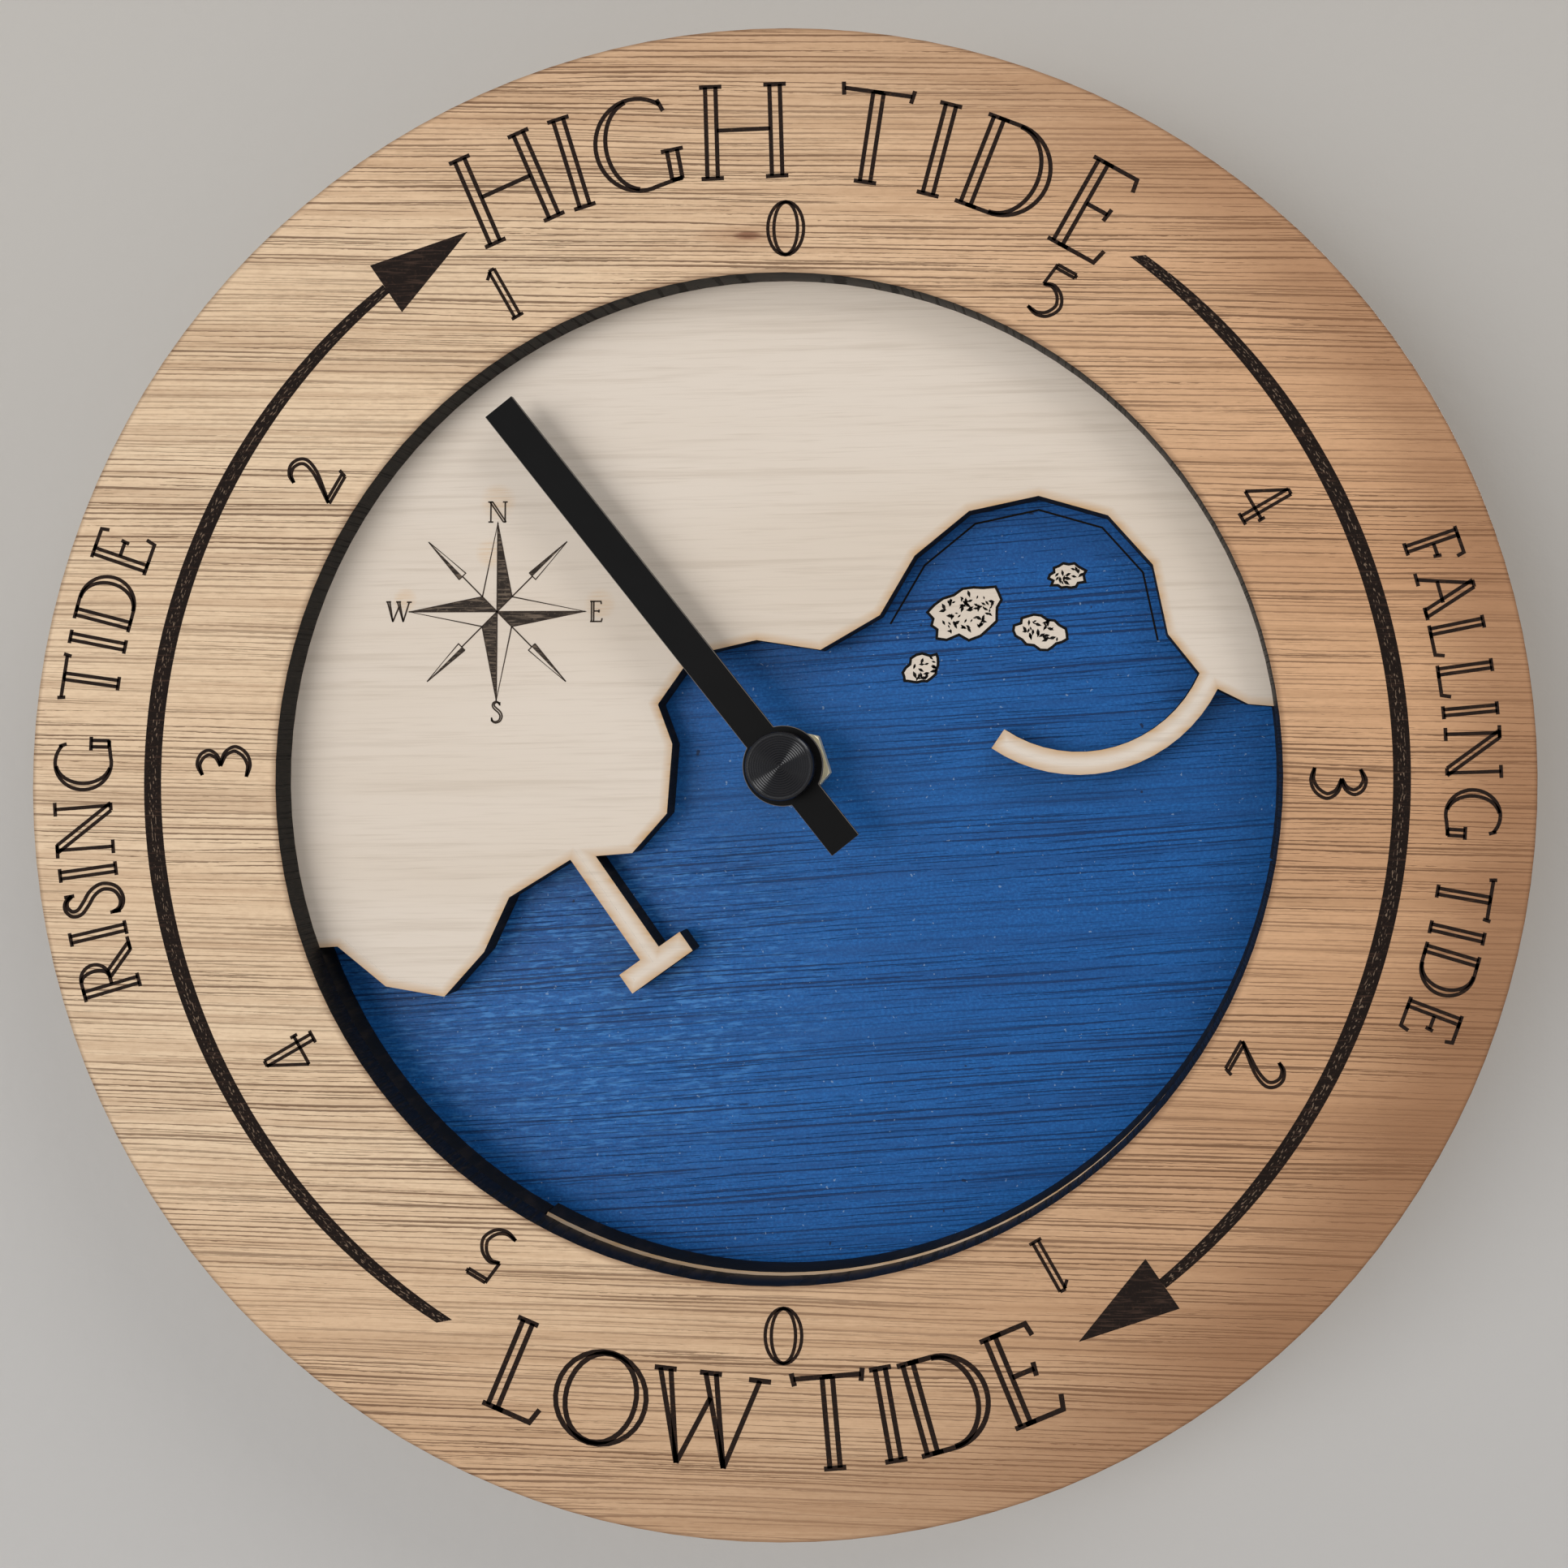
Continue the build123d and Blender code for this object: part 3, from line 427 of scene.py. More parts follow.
def veneer_wood():
    """Tan veneer with rows of dark pores, browner towards the right."""
    graph = Graph("veneer_wood", VENEER_TILT)
    broad = graph.grain((5, 20, 42), 3, 0.55)
    crowd = graph.grain((7, 20, 70), 2, 0.5, 9)
    fibres = graph.grain((60, 400, 3600), 2, 0.6)
    flecks = graph.grain((480, 480, 1500), 2, 0.6)
    pores = grain_lines(graph, 78, 1.1, 0.36, 2)
    short = grain_lines(graph, 28, 0.85, 0.435, 5)
    lines = crowded_lines(graph, pores, short, 0.8, crowd, 0.5)
    soft = soft_streaks(graph, 110, 2.2, 0.52, 13)

    # Browner at the right, and less so at the top and the bottom
    right = graph.steps(graph.axis("X"), DIAL_X - 0.11, DIAL_X + 0.165)
    below = graph.steps(graph.axis("Z"), DIAL_Z - 0.05, DIAL_Z - 0.16)
    above = graph.steps(graph.axis("Z"), DIAL_Z + 0.09, DIAL_Z + 0.15)
    ends = graph.times(graph.calc("MAXIMUM", below, above), 0.48)
    browner = graph.calc("MAXIMUM", right, ends)
    pale = graph.mix(browner, (0.865, 0.65, 0.432), (0.755, 0.432, 0.231))
    deep = graph.mix(browner, (0.795, 0.566, 0.358), (0.622, 0.333, 0.17))
    colour = graph.mix(graph.steps(broad, 0.3, 0.7), pale, deep)

    # Marks of the grain
    colour = graph.over(colour, soft, 0.22, (0.36, 0.185, 0.085))
    colour = graph.over(colour, graph.steps(flecks, 0.4, 0.7), 0.16, (0.4, 0.22, 0.11))
    colour = graph.over(colour, graph.spot(KNOT, *KNOT_RIM), 0.4, (0.36, 0.16, 0.07))
    colour = graph.over(colour, graph.spot(KNOT, *KNOT_HEART), 0.75, (0.2, 0.065, 0.03))
    colour = graph.over(colour, graph.steps(fibres, 0.45, 0.75), 0.3, (0.36, 0.2, 0.1))
    colour = graph.over(colour, lines, 0.76, (0.1, 0.042, 0.018))

    # Toasted at the lower right, darker along the outer edge, burnt along both cut edges
    distance = graph.dial_distance()
    lower = graph.steps(graph.axis("Z"), DIAL_Z + 0.06, DIAL_Z - 0.08)
    outwards = graph.blend(graph.steps(distance, 112, 147), 0.35, 1.0)
    toasted = graph.times(graph.times(right, lower), outwards)
    colour = graph.over(colour, toasted, graph.blend(broad, 0.3, 0.75), (0.24, 0.115, 0.055))
    far = graph.times(right, graph.steps(distance, 126, 146))
    colour = graph.over(colour, far, 0.55, (0.3, 0.14, 0.065))
    inner = graph.calc("SUBTRACT", 1.0, graph.steps(distance, OPENING_RADIUS, OPENING_RADIUS + 1.4))
    outer = graph.steps(distance, DIAL_RADIUS - 1.0, DIAL_RADIUS)
    colour = graph.over(colour, graph.calc("MAXIMUM", inner, outer), 0.5, (0.14, 0.06, 0.024))
    colour = char_over(graph, colour, fibres)
    height = graph.calc("SUBTRACT", graph.times(fibres, 0.3), lines)
    return graph.finish(colour, graph.blend(lines, 0.5, 0.75), height, 0.06, specular=0.25)


def pale_wood():
    """Whitewashed plywood with faint level grain and burnt edges."""
    graph = Graph("pale_wood", LAND_TILT)
    broad = graph.grain((6, 20, 30), 3, 0.5)
    grain = graph.grain((16, 90, 620), 3, 0.6, distortion=0.2)
    fibres = graph.grain((70, 300, 2600), 2, 0.6)
    colour = graph.mix(graph.steps(broad, 0.3, 0.7), (0.805, 0.703, 0.597), (0.755, 0.646, 0.532))
    colour = graph.over(colour, graph.steps(grain, 0.5, 0.72), 0.34, (0.55, 0.45, 0.35))
    colour = graph.over(colour, graph.steps(fibres, 0.5, 0.8), 0.25, (0.5, 0.4, 0.3))
    toast = graph.blend(graph.steps(fibres, 0.35, 0.7), 0.1, 0.4)
    for place, size in TOASTED:
        colour = graph.over(colour, graph.spot(place, size, size), toast, (0.72, 0.43, 0.17))
    scorch = graph.blend(graph.steps(grain, 0.3, 0.7), 0.95, 0.5)
    colour = graph.over(colour, graph.attribute("scorch"), scorch, SCORCH)
    colour = char_over(graph, colour, grain)
    return graph.finish(colour, graph.blend(fibres, 0.55, 0.75), fibres, 0.03, specular=0.25)


def blue_wood():
    """Blue paint over grained plywood in front, with a painted sheen at the lower left, bare plywood behind.
    """
    graph = Graph("blue_wood", SEA_TILT)
    broad = graph.grain((7, 20, 26), 3, 0.5)
    crowd = graph.grain((8, 20, 60), 2, 0.5, 3)
    ripple = graph.grain((190, 190, 1900), 2, 0.6, 17)
    strokes = graph.grain((260, 260, 1500), 2, 0.65, 29)
    stipple = graph.speckle((1500, 1500, 1900), 2, 0.6)
    specks = graph.speckle(1300, 1, 0.4)
    crumbs = graph.speckle(430, 1, 0.4, 7)
    grooves = grain_lines(graph, 46, 1.35, 0.41, 21)
    short = grain_lines(graph, 16, 0.9, 0.45, 33)
    lines = crowded_lines(graph, grooves, short, 0.7, crowd, 0.35)
    soft = soft_streaks(graph, 90, 2.4, 0.52, 41)
    patches = graph.steps(broad, 0.3, 0.7)

    paint = graph.mix(patches, (0.006, 0.098, 0.335), (0.004, 0.08, 0.29))
    paint = graph.over(paint, graph.steps(stipple, 0.42, 0.62), 0.5, (0.016, 0.165, 0.5))
    paint = graph.over(paint, graph.steps(ripple, 0.4, 0.7), 0.36, (0.003, 0.055, 0.205))
    paint = graph.over(paint, soft, 0.3, (0.006, 0.055, 0.2))
    # Painted sheen: lighter blue strokes in a patch at the lower left stand in for the lamp's highlight on
    # the grain
    painted_sheen = graph.times(graph.spot(PAINTED_SHEEN_PLACE, *PAINTED_SHEEN_REACH), graph.steps(strokes, 0.5, 0.68))
    paint = graph.over(paint, painted_sheen, 0.75, (0.055, 0.235, 0.57))
    paint = graph.over(paint, lines, 0.75, (0.002, 0.016, 0.07))
    paint = graph.over(paint, graph.steps(specks, 0.765, 0.785), 0.5, (0.3, 0.42, 0.58))
    paint = graph.over(paint, graph.steps(crumbs, 0.81, 0.83), 0.8, (0.006, 0.012, 0.035))

    bare = graph.mix(patches, (0.64, 0.49, 0.33), (0.57, 0.42, 0.27))
    bare = graph.over(bare, soft, 0.18, (0.4, 0.26, 0.15))
    bare = graph.over(bare, graph.steps(ripple, 0.45, 0.75), 0.25, (0.42, 0.29, 0.17))
    bare = graph.over(bare, lines, 0.5, (0.2, 0.11, 0.055))

    behind = graph.steps(graph.facing(), 0.4, 0.6)
    colour = char_over(graph, graph.mix(behind, paint, bare), stipple)
    height = graph.calc("ADD", graph.times(stipple, 0.3), graph.times(ripple, 0.45))
    height = graph.calc("SUBTRACT", height, lines)
    return graph.finish(colour, graph.blend(stipple, 0.36, 0.56), height, 0.12, specular=0.28)


def engraving(name, dark, light, density, dashes=0.0):
    """Burnt lines with lighter specks where the grain shows, and dashes along the middle of the bands."""
    graph = Graph(name)
    grain = graph.speckle((180, 180, 2400), 2, 0.6)
    grit = graph.speckle(1500, 2, 0.6)
    colour = graph.over(dark, graph.steps(grain, density, density + 0.2), 0.8, light)
    colour = graph.over(colour, graph.steps(grit, 0.55, 0.75), 0.6, light)
    if dashes:
        rising, falling = (
            graph.calc("ABSOLUTE", graph.calc("SUBTRACT", graph.dial_distance(right, above), radius))
            for radius, right, above in (RISING_CIRCLE, FALLING_CIRCLE)
        )
        middle = graph.steps(graph.calc("MINIMUM", rising, falling), 0.95, 0.6)
        broken = graph.steps(graph.noise(graph.around_dial(1.1, 0.3), 1, 0.5), 0.59, 0.66)
        colour = graph.over(colour, graph.times(middle, broken), dashes, (0.36, 0.25, 0.17))
    return graph.finish(colour, graph.blend(grit, 0.7, 0.95), grit, 0.04, specular=0.1)


# Metal and plastic

CELL_RING = (10.5, 13.2)
CELL_CAP = 2.6
CELL_BASE = 1.2
PRINT_EDGE = 0.2


def plain_finish(name, colour, shade, roughness, metallic=0.0, grain=1400, relief=0.02, specular=0.5):
    """A finish with fine mottling between two near colours and between two degrees of gloss."""
    graph = Graph(name)
    mottle = graph.mottle()
    grit = graph.speckle(grain, 2, 0.5)
    tone = graph.mix(graph.steps(mottle, 0.35, 0.7), colour, shade)
    return graph.finish(tone, graph.blend(mottle, *roughness), grit, relief, metallic, specular)


def metal_paint_with_edge_highlight(name, colour, bare):
    """Flat paint, with pale broken edges that stand partly for bare metal and partly for a painted
    highlight.
    """
    graph = Graph(name)
    mottle = graph.mottle()
    grit = graph.speckle(2600, 2, 0.5)
    flatness = graph.calc("ABSOLUTE", graph.facing())
    # Painted highlight: the broken edges turn pale, partly bare metal and partly light caught on the edges
    corner = graph.times(graph.steps(flatness, 0.1, 0.3), graph.steps(flatness, 0.985, 0.93))
    tone = graph.over(colour, corner, graph.blend(mottle, 0.7, 1.0), bare)
    return graph.finish(tone, graph.blend(mottle, 0.42, 0.55), grit, 0.006, specular=0.08)


def printed_wrap():
    """A cell's printed film: dark with one pale ring, and bright metal at both ends."""
    graph = Graph("cell_wrap")
    low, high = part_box("battery_cell")
    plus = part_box("positive_contact")[0].x
    plus_end = min(low.x, high.x, key=lambda end: abs(end - plus))
    along = graph.calc("ABSOLUTE", graph.calc("SUBTRACT", graph.axis("X"), plus_end))
    along = graph.times(along, 1 / MM)
    mottle = graph.mottle()
    grit = graph.speckle(1500, 2, 0.5)
    film = graph.mix(graph.steps(mottle, 0.35, 0.7), (0.05, 0.065, 0.09), (0.035, 0.048, 0.07))
    near, far = CELL_RING
    past, before = graph.steps(along, near, near + PRINT_EDGE), graph.steps(along, far, far - PRINT_EDGE)
    colour = graph.mix(graph.times(past, before), film, (0.55, 0.56, 0.57))
    base = (high.x - low.x) / MM - CELL_BASE
    ends = graph.calc("MAXIMUM", graph.steps(along, CELL_CAP, CELL_CAP - PRINT_EDGE),
                      graph.steps(along, base, base + PRINT_EDGE))
    colour = graph.mix(ends, colour, (0.6, 0.6, 0.59))
    return graph.finish(colour, graph.blend(mottle, 0.25, 0.38), grit, 0.005, ends)


def turned_metal(name, colour, shade, roughness, rings, metallic):
    """Lathe-turned metal, with a number of fine rings per millimetre around the hand's axis."""
    graph = Graph(name)
    phase = graph.times(graph.distance(HAND_X, HAND_Z), rings * 2 * math.pi)
    wave = graph.calc("MULTIPLY_ADD", graph.calc("SINE", phase), 0.5)
    mottle = graph.mottle(300)
    tone = graph.mix(graph.steps(mottle, 0.3, 0.75), colour, shade)
    return graph.finish(tone, graph.blend(mottle, *roughness), wave, 0.01, metallic)


# Meshes

def dial_vertex(point, y):
    """A point of the dial, in millimetres from its centre, at a depth in metres."""
    return Vector((DIAL_X + point[0] * MM, y, DIAL_Z + point[1] * MM))


def make_object(name, mesh_builder, material, body):
    """An object from a finished bmesh, dressed and riding on a body."""
    mesh = bpy.data.meshes.new(name)
    bmesh.ops.recalc_face_normals(mesh_builder, faces=mesh_builder.faces)
    mesh_builder.to_mesh(mesh)
    mesh_builder.free()
    made = bpy.data.objects.new(name, mesh)
    bpy.context.collection.objects.link(made)
    mesh.materials.append(material)
    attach(made, body)
    return made


class Relief:
    """Thin raised shapes on a face of the dial, drawn in millimetres from its centre."""

    def __init__(self, face, height=INK_HEIGHT, way=-1):
        self.mesh = bmesh.new()
        self.top = face + way * height * MM
        self.base = face - way * INK_SINK * MM

    def strip(self, left, right, closed=False):
        """A band between two rows of points, as rings of four corners."""
        rings = []
        for first, second in zip(left, right):
            corners = ((first, self.top), (second, self.top), (second, self.base), (first, self.base))
            rings.append([self.mesh.verts.new(dial_vertex(*corner)) for corner in corners])
        pairs = list(zip(rings, rings[1:]))
        if closed:
            pairs.append((rings[-1], rings[0]))
        else:
            self.mesh.faces.new(rings[0])
            self.mesh.faces.new(rings[-1][::-1])
        for one, other in pairs:
            for side in range(4):
                following = (side + 1) % 4
                self.mesh.faces.new((one[side], other[side], other[following], one[following]))
        return rings

    def line(self, points, width, closed=False):
        """A line of even width along points."""
        self.strip(beside(points, width / 2, closed), beside(points, -width / 2, closed), closed)

    def patch(self, outline):
        """A filled shape."""
        top = [self.mesh.verts.new(dial_vertex(point, self.top)) for point in outline]
        base = [self.mesh.verts.new(dial_vertex(point, self.base)) for point in outline]
        self.mesh.faces.new(top)
        self.mesh.faces.new(base[::-1])
        for index in range(len(outline)):
            following = (index + 1) % len(outline)
            self.mesh.faces.new((top[index], base[index], base[following], top[following]))

    def make(self, name, material, slot):
        """An object on the fixed body."""
        make_object(name, self.mesh, material, "base")


SHARPEST_TURN = 0.3
MITRE_LIMIT = 0.45


def mitre(points, index, closed=False):
    """The step to the left at a point of a line that keeps the line's width even."""
    point = Vector(points[index])
    ways = []
    if closed or index:
        ways.append(point - Vector(points[index - 1]))
    if closed or index + 1 < len(points):
        ways.append(Vector(points[(index + 1) % len(points)]) - point)
    sides = []
    for way in ways:
        way.normalize()
        sides.append(Vector((-way.y, way.x)))
    middle = sides[0] + sides[-1]
    if len(sides) == 1 or middle.length < SHARPEST_TURN:
        return sides[0]
    middle.normalize()
    return middle / max(middle.dot(sides[0]), MITRE_LIMIT)


def beside(points, distance, closed=False):
    """The line at a distance to the left of a line."""
    moved = []
    for index, point in enumerate(points):
        offset = mitre(points, index, closed) * distance
        moved.append((point[0] + offset.x, point[1] + offset.y))
    return moved


# Lettering: open-face capitals and numerals drawn as strokes in a box one unit high

def stem(x, low=0.0, high=1.0, serifs=(True, True)):
    """An upright of two parallel lines, closed by serifs."""
    half = STEM_WEIGHT / 2
    strokes = [[(x - half, low), (x - half, high)], [(x + half, low), (x + half, high)]]
    for y, wanted in zip((low, high), serifs):
        reach = half + SERIF if wanted else half
        strokes.append([(x - reach, y), (x + reach, y)])
    return strokes


def thin(*points):
    return [list(points)]


def thick(start, end):
    """A sloping stroke of two parallel lines, with level ends."""
    half = SLOPE_HALF
    strokes = [[(p[0] + side, p[1]) for p in (start, end)] for side in (-half, half)]
    return strokes + [[(p[0] - half, p[1]), (p[0] + half, p[1])] for p in (start, end)]


def foot(x, y):
    return [[(x - SERIF - STEM_WEIGHT / 2, y), (x + SERIF + STEM_WEIGHT / 2, y)]]


def curve(points, swell=1.0):
    """A smooth line through points, with a second one beside it that swells away and returns."""
    smooth = []
    padded = [points[0], *points, points[-1]]
    for corners in zip(padded, padded[1:], padded[2:], padded[3:]):
        smooth += [spline_point(*corners, step / CURVE_STEPS) for step in range(CURVE_STEPS)]
    smooth.append(points[-1])
    second = []
    for index, point in enumerate(smooth):
        share = math.sin(math.pi * index / (len(smooth) - 1))
        offset = mitre(smooth, index) * (STEM_WEIGHT * swell * share)
        second.append((point[0] + offset.x, point[1] + offset.y))
    return [smooth, second]


def spline_point(p0, p1, p2, p3, t):
    """A point between p1 and p2 on the smooth line through four points."""
    def one(a, b, c, d):
        return b + t * (c - a + t * (2 * a - 5 * b + 4 * c - d + t * (3 * (b - c) + d - a))) / 2
    return (one(p0[0], p1[0], p2[0], p3[0]), one(p0[1], p1[1], p2[1], p3[1]))


def oval(x, y, wide, high, start=0, end=360):
    """An arc of an ellipse."""
    angles = [math.radians(start + (end - start) * k / OVAL_STEPS) for k in range(OVAL_STEPS + 1)]
    return [[(x + wide * math.cos(a), y + high * math.sin(a)) for a in angles]]


def shaded_oval(x, y, wide, high, start=0, end=360):
    """Two arcs that part at the sides and meet at the top and the bottom."""
    inner = oval(x, y, wide - STEM_WEIGHT, high - OVAL_THINNING, start, end)
    return oval(x, y, wide, high, start, end) + inner


GLYPHS = {
    "A": (0.78, thin((0.04, 0), (0.37, 1)) + thick((0.38, 1), (0.70, 0)) + thin((0.16, 0.36), (0.58, 0.36))
          + foot(0.04, 0) + foot(0.70, 0)),
    "D": (0.94, stem(0.14) + thin((0.14, 1), (0.40, 1)) + thin((0.14, 0), (0.40, 0))
          + shaded_oval(0.40, 0.5, 0.49, 0.5, -90, 90)),
    "E": (0.64, stem(0.14) + thin((0.14, 1), (0.55, 1), (0.575, 0.86)) + thin((0.20, 0.52), (0.46, 0.52))
          + thin((0.47, 0.59), (0.45, 0.44)) + thin((0.14, 0), (0.58, 0), (0.62, 0.16))),
    "F": (0.58, stem(0.14) + thin((0.14, 1), (0.54, 1), (0.565, 0.86)) + thin((0.20, 0.52), (0.44, 0.52))
          + thin((0.45, 0.59), (0.43, 0.44))),
    "G": (1.0, oval(0.49, 0.5, 0.47, 0.505, 50, 285) + oval(0.49, 0.5, 0.47 - STEM_WEIGHT, 0.49, 100, 258)
          + thin((0.775, 0.945), (0.82, 0.81)) + thin((0.61, 0.012), (0.90, 0.055))
          + stem(0.835, 0.045, 0.37, (False, True))),
    "H": (0.98, stem(0.14) + stem(0.84) + thin((0.20, 0.52), (0.78, 0.52))),
    "I": (0.28, stem(0.14)),
    "L": (0.64, stem(0.14) + thin((0.14, 0), (0.58, 0), (0.63, 0.17))),
    "N": (1.0, thin((0.14, 0), (0.14, 1)) + thin((0.86, 0), (0.86, 1)) + thick((0.16, 1), (0.84, 0))
          + foot(0.14, 0) + foot(0.86, 1) + foot(0.12, 1)),
    "O": (1.04, shaded_oval(0.52, 0.5, 0.50, 0.5)),
    "R": (0.84, stem(0.14) + thin((0.14, 1), (0.36, 1)) + thin((0.20, 0.48), (0.36, 0.48))
          + shaded_oval(0.36, 0.74, 0.25, 0.26, -90, 90) + thick((0.38, 0.48), (0.76, 0)) + foot(0.80, 0)),
    "S": (0.56, curve([(0.46, 0.84), (0.38, 0.97), (0.24, 1.0), (0.11, 0.90), (0.11, 0.73), (0.25, 0.57),
                       (0.40, 0.44), (0.48, 0.27), (0.42, 0.08), (0.26, 0.0), (0.12, 0.04), (0.06, 0.17)])
          + thin((0.46, 0.98), (0.46, 0.80)) + thin((0.06, 0.02), (0.06, 0.21))),
    "T": (0.82, stem(0.41, 0.0, 0.985, (True, False)) + thin((0.04, 0.985), (0.78, 0.985))
          + thin((0.02, 1.05), (0.045, 0.91)) + thin((0.80, 1.05), (0.775, 0.91))),
    "W": (1.26, thin((0.08, 1), (0.36, 0)) + thin((0.195, 1), (0.36, 0)) + thin((0.36, 0), (0.66, 0.74))
          + thin((0.58, 1), (0.88, 0)) + thin((0.695, 1), (0.88, 0)) + thin((0.88, 0), (1.18, 0.98))
          + foot(0.137, 1) + foot(0.637, 1) + foot(1.18, 0.98)),
    "0": (0.70, shaded_oval(0.35, 0.5, 0.335, 0.5)),
    "1": (0.36, stem(0.2, serifs=(True, False)) + thin((0.16, 0.98), (0.04, 0.87))),
    "2": (0.69, curve([(0.06, 0.78), (0.14, 0.93), (0.31, 1.0), (0.48, 0.93), (0.55, 0.77), (0.46, 0.52),
                       (0.25, 0.24), (0.06, 0.02)], -0.8)
          + thin((0.06, 0.0), (0.64, 0.0)) + thin((0.12, 0.075), (0.64, 0.075))
          + thin((0.64, 0.0), (0.69, 0.15))),
    "3": (0.70, curve([(0.09, 0.90), (0.28, 1.0), (0.47, 0.94), (0.55, 0.78), (0.45, 0.62), (0.26, 0.56)],
                      -0.8)
          + curve([(0.26, 0.56), (0.50, 0.49), (0.62, 0.29), (0.50, 0.08), (0.28, 0.0), (0.06, 0.07)],
                  -0.8)),
    "4": (0.66, thin((0.40, 1), (0.03, 0.30)) + thin((0.03, 0.30), (0.62, 0.30))
          + thin((0.62, 0.37), (0.62, 0.23)) + stem(0.44, serifs=(True, False))),
    "5": (0.70, thin((0.56, 1), (0.16, 1)) + thin((0.56, 0.93), (0.16, 0.93)) + thin((0.56, 1), (0.56, 0.93))
          + thin((0.16, 1), (0.11, 0.56))
          + curve([(0.11, 0.56), (0.29, 0.63), (0.50, 0.53), (0.60, 0.31), (0.48, 0.08), (0.27, 0.0),
                   (0.06, 0.06)], -0.8)),
}


def place_glyph(relief, letter, base, up, height, width):
    """Draws a glyph upright along a direction, with the middle of its foot at a place."""
    advance, strokes = GLYPHS[letter]
    right = Vector((up.y, -up.x))
    for stroke in strokes:
        relief.line([base + height * ((u - advance / 2) * right + v * up) for u, v in stroke], width)


def polar(radius, clock):
    """A point of the dial at a clockwise angle from the top, in degrees."""
    angle = math.radians(clock)
    return Vector((radius * math.sin(angle), radius * math.cos(angle)))


def arc_text(relief, text, radius, height, angles, feet_outside, width, shift):
    """Capitals set along an arc between two clockwise angles, feet on the radius, its centre shifted."""
    start, end = angles
    advances = [WORD_SPACE if letter == " " else GLYPHS[letter][0] for letter in text]
    length = abs(math.radians(end - start)) * radius
    tracking = (length / height - sum(advances)) / (len(text) - 1)
    travelled = 0.0
    for letter, advance in zip(text, advances):
        middle = start + (end - start) * (travelled + advance / 2) * height / length
        if letter != " ":
            up = -polar(1, middle) if feet_outside else polar(1, middle)
            place_glyph(relief, letter, polar(radius, middle) + Vector(shift), up, height, width)
        travelled += advance + tracking


def dial_lettering(material):
    relief = Relief(RING_FACE)
    for word in WORDS:
        arc_text(relief, *word)
    for place, shift in enumerate(NUMERAL_SHIFTS):
        digit = NUMERAL_SEQUENCE[place % len(NUMERAL_SEQUENCE)]
        clock = place * NUMERAL_STEP
        base = polar(NUMERAL_RADIUS, clock) + Vector(shift)
        place_glyph(relief, digit, base, polar(1, clock), NUMERAL_HEIGHT, NUMERAL_LINE)
    relief.make("dial_lettering", material, "veneer_wood")


def direction_band(name, circle, tail, base, tip, material, head_material):
    """A curved band, thinner at both ends, with a slanted tail and an arrowhead at its clockwise end."""
    radius, *centre = circle

    def at(out, clock):
        return polar(radius + out, clock) + Vector(centre)

    band, head = Relief(RING_FACE), Relief(RING_FACE)
    left, right = [], []
    for step in range(BAND_STEPS + 1):
        share = step / BAND_STEPS
        clock = tail + (base - tail) * share
        slant = BAND_SLANT * (1 - share) ** SLANT_POWER
        half = (BAND_WIDTH - BAND_TAPER * abs(2 * share - 1) ** TAPER_POWER) / 2
        left.append(at(half, clock))
        right.append(at(-half, clock + slant))
    band.strip(left, right)
    middle, point = at(0, base), at(0, tip)
    way = (point - middle).normalized()
    side = Vector((-way.y, way.x)) * ARROW_WIDTH / 2
    head.patch([middle + side, middle - side, point])
    band.make(f"{name}_band", material, "veneer_wood")
    head.make(f"{name}_arrow", head_material, "veneer_wood")


def compass_rose(dark, line):
    """A four-point star with thin arrows between, each half shaded."""
    centre = Vector(ROSE_CENTRE)
    shade, outline = Relief(LAND_FACE), Relief(LAND_FACE, ROSE_LINE_HEIGHT)
    for letter, clock in zip("NESW", range(0, 360, 90)):
        diagonal = clock + 45
        tip, waist = centre + polar(ROSE_POINT, clock), centre + polar(ROSE_WAIST, diagonal)
        back = centre + polar(ROSE_WAIST, clock - 45)
        shade.patch([waist, tip, centre])
        outline.line([centre, tip], ROSE_LINE)
        outline.line([waist, tip, back], ROSE_LINE)
        outline.line([centre, waist], ROSE_LINE)
        base, end = centre + polar(ROSE_ARROW_BASE, diagonal), centre + polar(ROSE_ARROW_TIP, diagonal)
        side = polar(ROSE_ARROW_HALF, diagonal - 90)
        shade.patch([base, end, base + side])
        outline.line([waist, base], ROSE_LINE)
        outline.line([base + side, end, base - side, base + side], ROSE_ARROW_LINE)
        up = Vector((0, 1))
        letter_foot = centre + polar(ROSE_LETTER_RADIUS, clock) - up * ROSE_LETTER_HEIGHT / 2
        place_glyph(outline, letter, letter_foot, up, ROSE_LETTER_HEIGHT, ROSE_LETTER_LINE)
    shade.make("compass_shading", dark, "pale_wood")
    outline.make("compass_lines", line, "pale_wood")


# Rocks left bare in the bay, with burnt marks

def islet_point(islet, turn, share):
    """A point at an angle around an islet, at a share of its reach."""
    x, y, wide, high, lean = islet
    along, across = wide * share * math.cos(turn), high * share * math.sin(turn)
    return (x + along * math.cos(lean) - across * math.sin(lean),
            y + along * math.sin(lean) + across * math.cos(lean))


